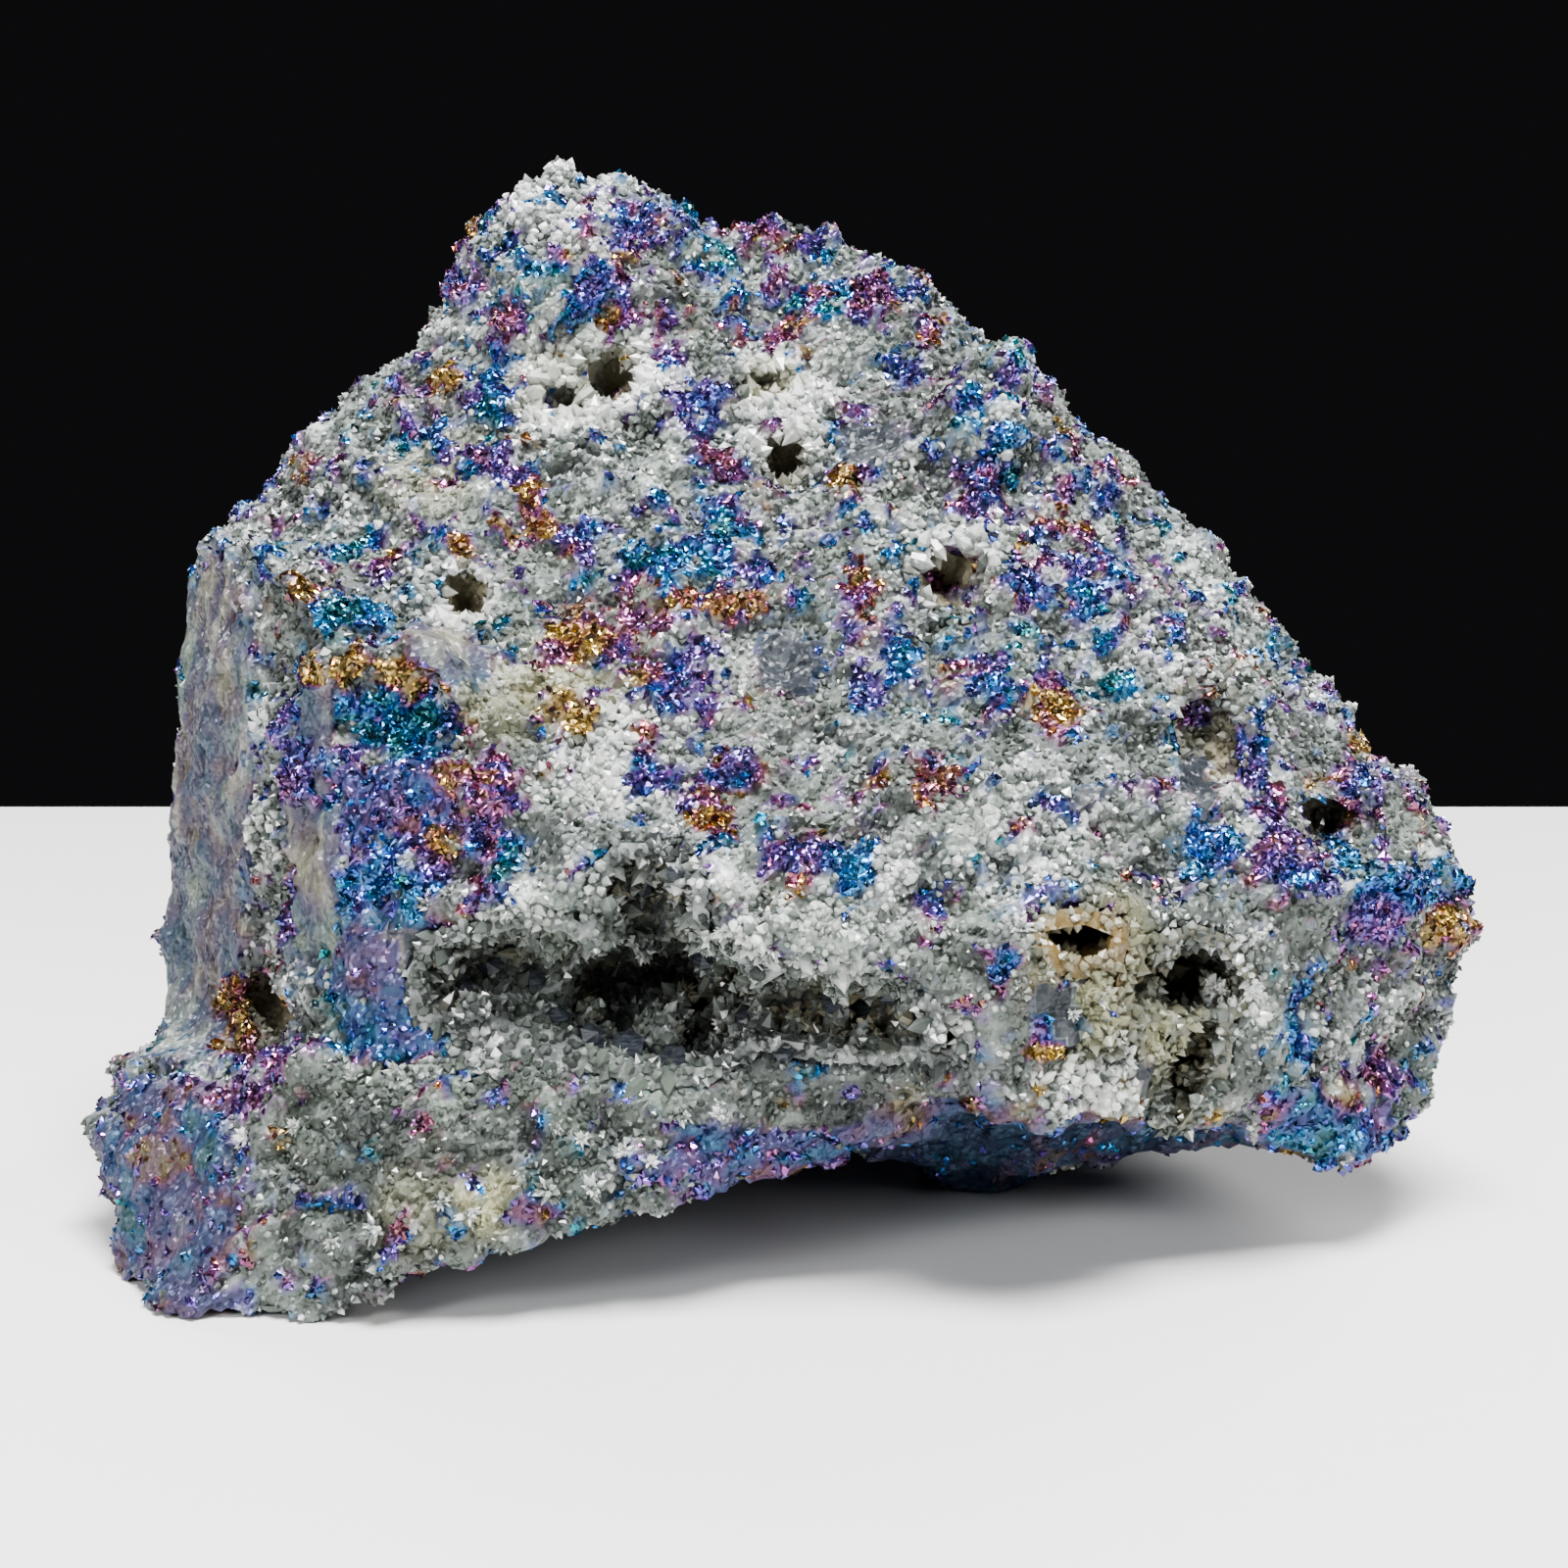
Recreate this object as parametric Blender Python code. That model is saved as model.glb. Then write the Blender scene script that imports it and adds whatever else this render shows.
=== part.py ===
"""Peacock ore: one broken lump of iridescent copper ore grown through with fine quartz.

Frame: X runs along the lump's length, +Y away from its front face, +Z up.
The origin is under the middle of the bounding box, on the surface that the lump stands on.
"""

import math
import random

import bmesh
import bpy
from mathutils import Matrix, Vector, noise
from mathutils.bvhtree import BVHTree

MM = 0.001

# The lump's driving size. Every corner below is in units of a 146th of this length.
LENGTH = 146 * MM
UNIT = LENGTH / 146

# Corner points of the broken blocks that make up the lump, in UNIT.
MAIN_MASS = [
    (-30, 14, 107), (-14, 15, 109), (6, 15, 109.5), (18, 13, 102), (32, 9, 87),
    (46, 5, 74), (57, 1, 62), (67, -4, 52), (-42, 8, 93), (-50, 3, 87), (-62, 3, 76.5),
    (-34, -35, 52), (-26, -41, 42), (-8, -41, 44), (6, -44, 39), (34, -40, 42),
    (52, -32, 42), (-28, 34, 102), (8, 36, 99), (41, 40, 70), (64, 26, 46),
    (64, 22, 20), (50, 44, 40), (0, 50, 52), (-45, 44, 78), (-62, 34, 64),
    (-66, 32, 30), (-58, 40, 10), (-10, 49, 12), (30, 46, 8), (52, 30, 10),
    (12, -2, 6), (50, -2, 8),
]
LEFT_WALL = [
    (-66, 3, 72), (-69, 5, 62), (-68, 5, 48), (-70.5, 2, 36), (-72, 1, 25), (-69, -3, 18),
    (-60, -8, 76), (-48, -28, 69), (-46, -33, 55), (-46, -35, 40), (-44, -38, 25),
    (-30, -33, 64), (-27, -40, 48), (-30, -30, 20), (-64, 32, 66), (-68, 30, 40),
    (-66, 28, 14), (-40, 0, 10), (-40, 0, 70),
]
LEFT_FOOT = [
    (-73, -14, 17), (-74, -20, 12), (-71, -27, 8), (-68, -34, 0), (-66, -38, -3),
    (-60, -46, -3), (-43, -48, -3), (-36, -49, 3.5), (-28, -48, 7), (-69, -4, 18),
    (-60, -25, 22), (-46, -41, 24), (-34, -46, 23), (-28, -45, 21), (-70, 12, 8),
    (-60, 18, 4), (-45, 10, 6), (-30, -10, 9), (-50, -30, -3),
]
LOWER_LIP = [
    (-40, -45, 23), (-28, -43, 22), (-9, -42, 21), (8, -40, 21), (17, -38, 22),
    (-40, -49, 14), (-28, -48, 14), (-9, -45.5, 14), (8, -42, 16), (-36, -49, 3.5),
    (-27, -47.5, 7), (-9, -43.5, 10.5), (7, -39, 13), (17, -34, 14), (-40, -5, 9),
    (12, -5, 12), (14, -20, 20), (-38, -20, 22),
]
# The rock that fills the front before its hollows are cut into it.
FRONT_FILL = [
    (-42, -40, 22), (14, -40, 21), (-42, -38, 44), (-20, -42, 41), (-4, -43, 39),
    (15, -43, 36), (-42, -5, 20), (14, -5, 16), (-42, -5, 44), (14, -5, 40),
]
RIGHT_FILL = [
    (30, -38, 16), (50, -31, 12), (30, -41, 40), (52, -35, 40), (30, -5, 12),
    (50, -5, 12), (30, -5, 40), (50, -5, 40),
]
KNOB = [
    (13, -45, 21), (24, -48, 16.5), (35, -42, 18), (10, -45, 34), (14, -47, 40),
    (24, -48, 36), (33, -44, 35), (38, -38, 26), (8, -38, 52), (30, -34, 54),
    (10, -5, 30), (40, -5, 30), (10, -5, 16), (38, -5, 12),
]
RIGHT_LOBE = [
    (71, -9, 46), (75.5, -13, 39), (75, -14, 30), (72, -16, 20), (68, -20, 11),
    (58, -28, 7), (47, -30, 10), (46, -36, 22), (50, -36, 36), (60, -30, 42),
    (67, -4, 52), (70, 12, 36), (67, 14, 16), (50, 20, 9), (44, 0, 55), (40, -10, 9),
]
LEFT_PEAK = [
    (-36, 11, 110), (-27, 11, 117), (-17, 12, 115), (-10, 13, 110), (-38, 9, 102),
    (-43, 7, 93), (-22, -3, 98), (-32, -2, 92), (-10, 4, 98), (-36, 28, 103),
    (-20, 30, 109), (-10, 26, 106), (-46, 22, 88),
]
UNDERSIDE = [
    (4, -18, 6.5), (15, -14, 3.5), (30, -14, 2.5), (50, -15, 5.5), (2, -20, 16),
    (48, -24, 16), (8, 30, 7), (50, 25, 7), (20, 20, 30),
]
MIDDLE_FOOT = [
    (12, -10, 6), (18.5, -7, -3), (27, -7, -3), (32, -8, 5), (18, 10, -3), (28, 10, -3),
    (12, 16, 8), (34, 16, 8), (22, 0, 14),
]
BELLY = [
    (-57, -2, 8), (-30, -12, 9), (10, -12, 9), (-60, 26, 13), (-44, 34, 12), (2, 30, 9),
    (-58, 0, 28), (10, 0, 28), (-50, 30, 28), (0, 35, 28),
]
BACK_FOOT = [
    (-25, 35, -3), (-12, 35, -3), (-25, 45, -3), (-12, 45, -3), (-42, 46, 16),
    (10, 48, 16), (-38, 15, 12), (5, 15, 12),
]
# The swollen clumps of crystals that stand out of the front, and the broken ledges.
BROW_CLUMP = [
    (-38, -36, 46), (-26, -43, 41), (-18, -42, 43), (-20, -38, 50), (-34, -33, 53), (-28, -24, 46),
]
MIDDLE_CLUMP = [
    (-8, -44, 42), (-2, -46, 36), (10, -47, 34), (20, -45, 42), (10, -40, 52), (-4, -40, 50),
    (5, -25, 42),
]
UPPER_LEDGE = [
    (17, -3, 93), (25, 0, 95), (33, -4, 84), (24, -12, 80), (14, -12, 86), (28, 10, 84),
]
SHOULDER_LEDGE = [
    (36, -18, 64), (50, -14, 62), (58, -14, 53), (44, -28, 54), (34, -30, 56), (46, 0, 58),
]
BLOCKS = [
    MAIN_MASS, LEFT_WALL, LEFT_FOOT, LOWER_LIP, FRONT_FILL, RIGHT_FILL, KNOB, RIGHT_LOBE,
    LEFT_PEAK, UNDERSIDE, MIDDLE_FOOT, BELLY, BACK_FOOT, BROW_CLUMP, MIDDLE_CLUMP,
    UPPER_LEDGE, SHOULDER_LEDGE,
]

# Hollows: name, centre and half-sizes in UNIT, tilt about Y in degrees.
CAVERN = [
    ("cavern_left", (-25, -46, 31), (13.5, 16, 8.5), 6),
    ("cavern_deep", (-12, -43, 29), (13, 23, 8.5), 3),
    ("cavern_notch", (-13, -44, 38), (6.5, 13, 7.5), 0),
    ("cavern_right", (5, -46, 28), (13, 15, 6.5), 6),
    ("cavern_tongue", (-36, -49, 27), (8, 9, 4), -8),
]
RIGHT_HOLLOW = [
    ("hollow_mouth", (28, -44, 36), (6, 17, 3.6), 5),
    ("hollow_back", (38.5, -38, 31), (8.5, 15, 5.8), 8),
    ("hollow_groove", (39.5, -38, 22), (4.5, 13, 8), 18),
]
PITS = [
    ("peak_pit", (-18.5, 0, 89.6), (3.2, 8, 3), 20),
    ("peak_groove", (-24, -3, 87), (3, 5, 1.8), 30),
    ("middle_pit", (0.5, -8, 81), (2.2, 9, 2.8), 0),
    ("upper_slot", (-1.2, -1, 88.6), (3.2, 6, 1.7), 0),
    ("shoulder_pit", (17.3, -18, 68.5), (3.4, 9, 2.8), -25),
    ("wall_pit", (-32.5, -20, 66.5), (2.4, 7, 2.2), 0),
    ("foot_cave", (-52.8, -27, 25), (3.6, 13, 3), 0),
    ("pocket_upper", (-42.5, -29, 65.8), (5.2, 4.5, 3.4), 20),
    ("pocket_lower", (-38, -34, 55.5), (7, 5, 4.8), 8),
    ("lobe_slit", (56.5, -22, 43.6), (5, 8, 2), 8),
    ("side_recess", (42.5, -26, 52.8), (3, 8, 4.5), 0),
]

# Large six-sided crystals on the hollows' walls: place in UNIT, width and length in MM.
CAVERN_POINTS = [
    ((-16, -30, 22), 5.2, 6.5), ((-20.5, -33, 23), 4.2, 5), ((-12, -34, 21), 4, 4.5),
    ((-22, -36, 37), 3.2, 4), ((-6, -30, 33), 3.4, 4.5), ((4, -34, 22), 3, 4),
    ((-30, -38, 27), 3.2, 4),
]
HOLLOW_POINTS = [
    ((43, -32, 27), 3, 3.2), ((34, -34, 27), 2.6, 3), ((36, -30, 35), 2.4, 3),
]

FUSE_VOXEL = 1.9 * MM
BODY_TRIANGLES = 4600

# The broken surface: height of the relief, the size of its lumps and its seed.
RELIEF = [(1.3 * MM, 26 * MM, 3), (1.1 * MM, 11 * MM, 8), (1.0 * MM, 6 * MM, 21)]
CRACK_DEPTH = 1.3 * MM
CHIP_SIZE = 13 * MM

# The eggs that cut the hollows: their mean swelling, then lumps as shares of a half-size.
EGG_SWELL = 1.04
EGG_LUMPS = [(0.22, 0.9, 0), (0.14, 0.45, 9)]

CRUST_GAP = 0.45 * MM
CRUST_THICKNESS = 1.6 * MM
ROOT_DEPTH = 0.9 * MM
SMALL_WIDTH = (1.6 * MM, 2.8 * MM)
SMALL_LENGTH = (1.8 * MM, 3.4 * MM)
CAVERN_SMALL = 28
HOLLOW_SMALL = 12
TRIES_PER_CRYSTAL = 40
# A crystal's tip is this share of its width, its shaft narrows and leans by these shares,
# and the roots of two crystals keep this share of their widths apart.
TIP_SHARE = 0.55
SHAFT_TAPER = 0.9
LEAN = 0.35
SPACING = 0.36


def clear_scene():
    for old in list(bpy.data.objects):
        bpy.data.objects.remove(old)


def material(name, colour, roughness, metallic):
    made = bpy.data.materials.new(name)
    made.use_nodes = True
    shader = made.node_tree.nodes["Principled BSDF"]
    shader.inputs["Base Color"].default_value = (*colour, 1)
    shader.inputs["Roughness"].default_value = roughness
    shader.inputs["Metallic"].default_value = metallic
    return made


def object_from(bm, name):
    mesh = bpy.data.meshes.new(name)
    bm.to_mesh(mesh)
    bm.free()
    made = bpy.data.objects.new(name, mesh)
    bpy.context.scene.collection.objects.link(made)
    return made


def apply_modifiers(obj):
    """Replaces the object's mesh by what its modifiers make of it."""
    bpy.context.view_layer.update()
    graph = bpy.context.evaluated_depsgraph_get()
    finished = bpy.data.meshes.new_from_object(obj.evaluated_get(graph))
    obj.modifiers.clear()
    obj.data = finished


def combine(obj, operation, other, crossed=False):
    """Applies one Boolean. The other solid's own faces may cross each other if crossed is set."""
    boolean = obj.modifiers.new(operation.lower(), "BOOLEAN")
    boolean.operation = operation
    boolean.object = other
    boolean.use_self = crossed
    apply_modifiers(obj)


def add_block(bm, corners):
    """One convex broken block, as the hull of its corners."""
    points = [bm.verts.new(Vector(corner) * UNIT) for corner in corners]
    hull = bmesh.ops.convex_hull(bm, input=points)
    unused = hull["geom_interior"] + hull["geom_unused"]
    spare = {item for item in unused if isinstance(item, bmesh.types.BMVert)}
    bmesh.ops.delete(bm, geom=list(spare), context="VERTS")


def rough(point, size, seed):
    """Smooth noise of about -1 to 1 whose lumps are size across."""
    return noise.noise(point / size + Vector((seed, seed * 0.7, -seed)))


def chip(point, size, seed):
    """Broken-stone relief, 0 on a chip's crown and up to 1 in the cracks between chips."""
    near, far = noise.voronoi(point / size + Vector((seed, -seed, seed * 0.3)))[0][:2]
    return 1 - min(far - near, 1)


def weather(bm):
    """Gives the fused blocks lumps, ledges and chipped edges."""
    bm.normal_update()
    moved = []
    for vert in bm.verts:
        step = sum(height * rough(vert.co, size, seed) for height, size, seed in RELIEF)
        step -= CRACK_DEPTH * chip(vert.co, CHIP_SIZE, 5)
        moved.append(vert.co + vert.normal * step)
    for vert, place in zip(bm.verts, moved):
        vert.co = place


def fused_body():
    """The blocks grown into one mass, weathered and thinned to a faceted solid."""
    bm = bmesh.new()
    for corners in BLOCKS:
        add_block(bm, corners)
    body = object_from(bm, "ore_rock")
    remesh = body.modifiers.new("fuse", "REMESH")
    remesh.mode = "VOXEL"
    remesh.voxel_size = FUSE_VOXEL
    apply_modifiers(body)
    bm = bmesh.new()
    bm.from_mesh(body.data)
    bmesh.ops.smooth_vert(
        bm, verts=bm.verts, factor=0.5, use_axis_x=True, use_axis_y=True, use_axis_z=True
    )
    weather(bm)
    bmesh.ops.triangulate(bm, faces=bm.faces)
    faces = len(bm.faces)
    bm.to_mesh(body.data)
    bm.free()
    thin = body.modifiers.new("thin", "DECIMATE")
    thin.ratio = BODY_TRIANGLES / faces
    apply_modifiers(body)
    return body


def cut_feet_flat(body):
    """Trims the feet to one plane at z = 0, so that the lump stands on small flat spots."""
    bm = bmesh.new()
    bm.from_mesh(body.data)
    everything = bm.verts[:] + bm.edges[:] + bm.faces[:]
    cut = bmesh.ops.bisect_plane(
        bm, geom=everything, plane_co=(0, 0, 0), plane_no=(0, 0, 1), clear_inner=True
    )
    rim = [e for e in cut["geom_cut"] if isinstance(e, bmesh.types.BMEdge)]
    bmesh.ops.holes_fill(bm, edges=rim)
    bmesh.ops.triangulate(bm, faces=bm.faces)
    bm.to_mesh(body.data)
    bm.free()


def hollow_object(hollow, inset=0):
    """A lumpy closed egg in the place of one hollow, its wall moved inward by inset."""
    name, centre, half, tilt = hollow
    seed = sum(map(ord, name)) % 50
    bm = bmesh.new()
    bmesh.ops.create_icosphere(bm, subdivisions=2, radius=1)
    shape = Matrix.Diagonal([*half, 1])
    turn = Matrix.Rotation(math.radians(tilt), 4, "Y")
    for vert in bm.verts:
        lumps = [share * rough(vert.co, size, seed + more) for share, size, more in EGG_LUMPS]
        swell = EGG_SWELL + sum(lumps)
        vert.co = (turn @ shape @ (vert.co * swell) + Vector(centre)) * UNIT
    bm.normal_update()
    for vert, normal in [(vert, vert.normal.copy()) for vert in bm.verts]:
        vert.co -= normal * inset
    return object_from(bm, name)


def merged_hollow(name, hollows, inset):
    """The hollows' shapes as one closed solid."""
    merged = hollow_object(hollows[0], inset)
    merged.name = name
    for hollow in hollows[1:]:
        other = hollow_object(hollow, inset)
        combine(merged, "UNION", other)
        bpy.data.objects.remove(other)
    return merged


def carve(body, hollows):
    """Cuts every hollow out of the body, with hidden cutters."""
    for hollow in hollows:
        cutter = hollow_object(hollow)
        cutter.name = hollow[0] + "_cutter"
        cutter.hide_render = True
        cutter.display_type = "WIRE"
        cut = body.modifiers.new(hollow[0], "BOOLEAN")
        cut.operation = "DIFFERENCE"
        cut.object = cutter


def keep_largest(obj):
    """Drops the crumbs that a cut leaves beside the main shell."""
    bm = bmesh.new()
    bm.from_mesh(obj.data)
    left = set(bm.verts)
    islands = []
    while left:
        island = {left.pop()}
        edge_of_island = list(island)
        while edge_of_island:
            vert = edge_of_island.pop()
            reached = {edge.other_vert(vert) for edge in vert.link_edges} & left
            left -= reached
            island |= reached
            edge_of_island.extend(reached)
        islands.append(island)
    islands.sort(key=len)
    crumbs = [vert for island in islands[:-1] for vert in island]
    bmesh.ops.delete(bm, geom=crumbs, context="VERTS")
    bm.to_mesh(obj.data)
    bm.free()


def inside(tree, point):
    place, normal, _, _ = tree.find_nearest(point)
    return (point - place).dot(normal) < 0


def crystal_place(root, axis, turn):
    """The matrix that stands a crystal on root along axis."""
    upright = axis.to_track_quat("Z", "Y").to_matrix().to_4x4()
    return Matrix.Translation(root) @ upright @ Matrix.Rotation(turn, 4, "Z")


def add_crystal(bm, place, width, length):
    """A six-sided quartz point: a short prism with a pyramid on its end."""
    shaft = length - width * TIP_SHARE
    made = bmesh.ops.create_cone(
        bm, cap_ends=True, segments=6, radius1=width / 2, radius2=width / 2 * SHAFT_TAPER,
        depth=shaft, matrix=place @ Matrix.Translation((0, 0, shaft / 2)),
    )
    axis = (place.to_3x3() @ Vector((0, 0, 1))).normalized()
    faces = {face for vert in made["verts"] for face in vert.link_faces}
    top = max(faces, key=lambda face: face.calc_center_median().dot(axis))
    poked = bmesh.ops.poke(bm, faces=[top])
    poked["verts"][0].co += axis * (length - shaft)
    return made["verts"] + poked["verts"]


def crystal_fits(room, taken, root, verts, width):
    """True where a crystal keeps inside the hollow and isn't swallowed by another one."""
    clear = all((root - other).length > (width + wide) * SPACING for other, wide in taken)
    return clear and all(inside(room, vert.co) for vert in verts)


def grow_crystals(name, lining, room, wall, named_points, small, seed):
    """Six-sided crystals over a hollow's wall: the named large ones, then seeded small ones."""
    rng = random.Random(seed)
    bm = bmesh.new()
    taken = []

    def try_crystal(root, normal, width, length):
        lean = Vector([rng.uniform(-LEAN, LEAN) for _ in "xyz"])
        axis = (normal + lean).normalized()
        place = crystal_place(root - axis * ROOT_DEPTH, axis, rng.uniform(0, math.tau))
        verts = add_crystal(bm, place, width, length + ROOT_DEPTH)
        if crystal_fits(room, taken, root, verts, width):
            taken.append((root, width))
        else:
            bmesh.ops.delete(bm, geom=verts, context="VERTS")

    for target, width, length in named_points:
        root, normal, _, _ = wall.find_nearest(Vector(target) * UNIT)
        try_crystal(root, -normal, width * MM, length * MM)
    target_count = len(taken) + small
    lining.data.calc_loop_triangles()
    triangles = list(lining.data.loop_triangles)
    areas = [triangle.area for triangle in triangles]
    for triangle in rng.choices(triangles, weights=areas, k=small * TRIES_PER_CRYSTAL):
        if len(taken) >= target_count:
            break
        a, b, c = (lining.data.vertices[i].co for i in triangle.vertices)
        u, v = sorted((rng.random(), rng.random()))
        root = a * u + b * (v - u) + c * (1 - v)
        on_wall, normal, _, distance = wall.find_nearest(root)
        if distance < 0.02 * MM:
            size = rng.random()
            width = SMALL_WIDTH[0] + (SMALL_WIDTH[1] - SMALL_WIDTH[0]) * size
            length = SMALL_LENGTH[0] + (SMALL_LENGTH[1] - SMALL_LENGTH[0]) * size
            try_crystal(on_wall, -normal, width, length)
    return object_from(bm, name + "_points")


def crust(name, body, hollows, named_points, small, seed):
    """The quartz that lines a hollow: a thin shell with six-sided points grown out of it."""
    lining = merged_hollow(name, hollows, CRUST_GAP)
    core = merged_hollow(name + "_core", hollows, CRUST_GAP + CRUST_THICKNESS)
    room = BVHTree.FromPolygons(
        [vert.co.copy() for vert in lining.data.vertices],
        [face.vertices[:] for face in lining.data.polygons],
    )
    wall = BVHTree.FromPolygons(
        [vert.co.copy() for vert in core.data.vertices],
        [face.vertices[:] for face in core.data.polygons],
    )
    combine(lining, "INTERSECT", body)
    combine(lining, "DIFFERENCE", core)
    keep_largest(lining)
    points = grow_crystals(name, lining, room, wall, named_points, small, seed)
    combine(lining, "UNION", points, crossed=True)
    keep_largest(lining)
    for helper in (core, points):
        bpy.data.objects.remove(helper)
    return lining


def centre_on_origin(body):
    """Puts the origin under the middle of the lump's box."""
    places = [vert.co for vert in body.data.vertices]
    low = [min(place[axis] for place in places) for axis in (0, 1)]
    high = [max(place[axis] for place in places) for axis in (0, 1)]
    middle = Vector((low[0] + high[0], low[1] + high[1], 0)) / 2
    for obj in bpy.data.objects:
        obj.data.transform(Matrix.Translation(-middle))


def main():
    clear_scene()
    body = fused_body()
    cut_feet_flat(body)
    cavern = crust("cavern_crystals", body, CAVERN, CAVERN_POINTS, CAVERN_SMALL, 4)
    hollow = crust("right_hollow_crystals", body, RIGHT_HOLLOW, HOLLOW_POINTS, HOLLOW_SMALL, 9)
    carve(body, CAVERN + RIGHT_HOLLOW + PITS)
    finishes = {
        body: material("tarnished_ore", (0.32, 0.31, 0.42), 0.35, 0.6),
        cavern: material("dark_quartz", (0.42, 0.43, 0.42), 0.15, 0),
        hollow: material("stained_quartz", (0.62, 0.58, 0.42), 0.18, 0),
    }
    for piece, finish in finishes.items():
        piece.data.materials.clear()
        piece.data.materials.append(finish)
    centre_on_origin(body)


main()
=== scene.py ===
"""Looks of the peacock ore: rough rock, quartz points, iridescent ore chips, floor and soft light."""

import math

import bmesh
import bpy
import numpy as np
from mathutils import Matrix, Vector, noise
from mathutils.bvhtree import BVHTree
from mathutils.kdtree import KDTree


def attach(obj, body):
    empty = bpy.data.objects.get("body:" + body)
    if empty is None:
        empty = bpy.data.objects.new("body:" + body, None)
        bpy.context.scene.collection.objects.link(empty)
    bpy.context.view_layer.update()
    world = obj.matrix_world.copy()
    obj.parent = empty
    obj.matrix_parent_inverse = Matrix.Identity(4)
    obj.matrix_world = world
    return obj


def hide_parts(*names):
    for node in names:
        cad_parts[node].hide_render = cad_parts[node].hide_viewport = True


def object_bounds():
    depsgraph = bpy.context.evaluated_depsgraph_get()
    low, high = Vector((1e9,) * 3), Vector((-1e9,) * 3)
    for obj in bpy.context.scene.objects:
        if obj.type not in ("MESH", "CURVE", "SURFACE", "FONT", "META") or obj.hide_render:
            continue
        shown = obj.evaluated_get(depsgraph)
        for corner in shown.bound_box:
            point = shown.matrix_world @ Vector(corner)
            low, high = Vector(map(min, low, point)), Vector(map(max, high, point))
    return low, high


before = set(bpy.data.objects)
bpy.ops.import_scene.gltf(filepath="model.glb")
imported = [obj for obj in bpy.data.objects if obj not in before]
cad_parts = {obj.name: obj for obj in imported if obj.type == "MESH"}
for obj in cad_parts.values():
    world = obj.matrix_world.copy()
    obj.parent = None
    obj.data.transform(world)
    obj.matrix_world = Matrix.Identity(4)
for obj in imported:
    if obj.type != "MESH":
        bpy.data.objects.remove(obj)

MM = 0.001
CAD_LOW, CAD_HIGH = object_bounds()

# The camera stands where the photograph was taken from, in metres, and looks a little down.
PHOTO_SIZE = 1600
CAMERA_PLACE = Vector((-0.0003, -0.2627, 0.0815))
CAMERA_PITCH = math.radians(8)
LENS = 55.0
SENSOR = 36.0
FOCAL_PIXELS = PHOTO_SIZE * LENS / SENSOR
AHEAD = Vector((0, math.cos(CAMERA_PITCH), -math.sin(CAMERA_PITCH)))
UPWARD = Vector((0, math.sin(CAMERA_PITCH), math.cos(CAMERA_PITCH)))
RIGHTWARD = Vector((1, 0, 0))

# How thick the tarnish film is: its colour runs from gold to teal as it thickens.
GOLD, ORANGE, ROSE, VIOLET, BLUE, CYAN, TEAL = 0.05, 0.17, 0.31, 0.46, 0.62, 0.77, 0.92
FILM_COLOURS = [
    (GOLD, (0.62, 0.43, 0.11)), (ORANGE, (0.43, 0.18, 0.07)), (ROSE, (0.48, 0.14, 0.32)),
    (VIOLET, (0.26, 0.14, 0.50)), (BLUE, (0.06, 0.13, 0.48)), (CYAN, (0.05, 0.34, 0.70)),
    (TEAL, (0.04, 0.29, 0.32)),
]

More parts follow.
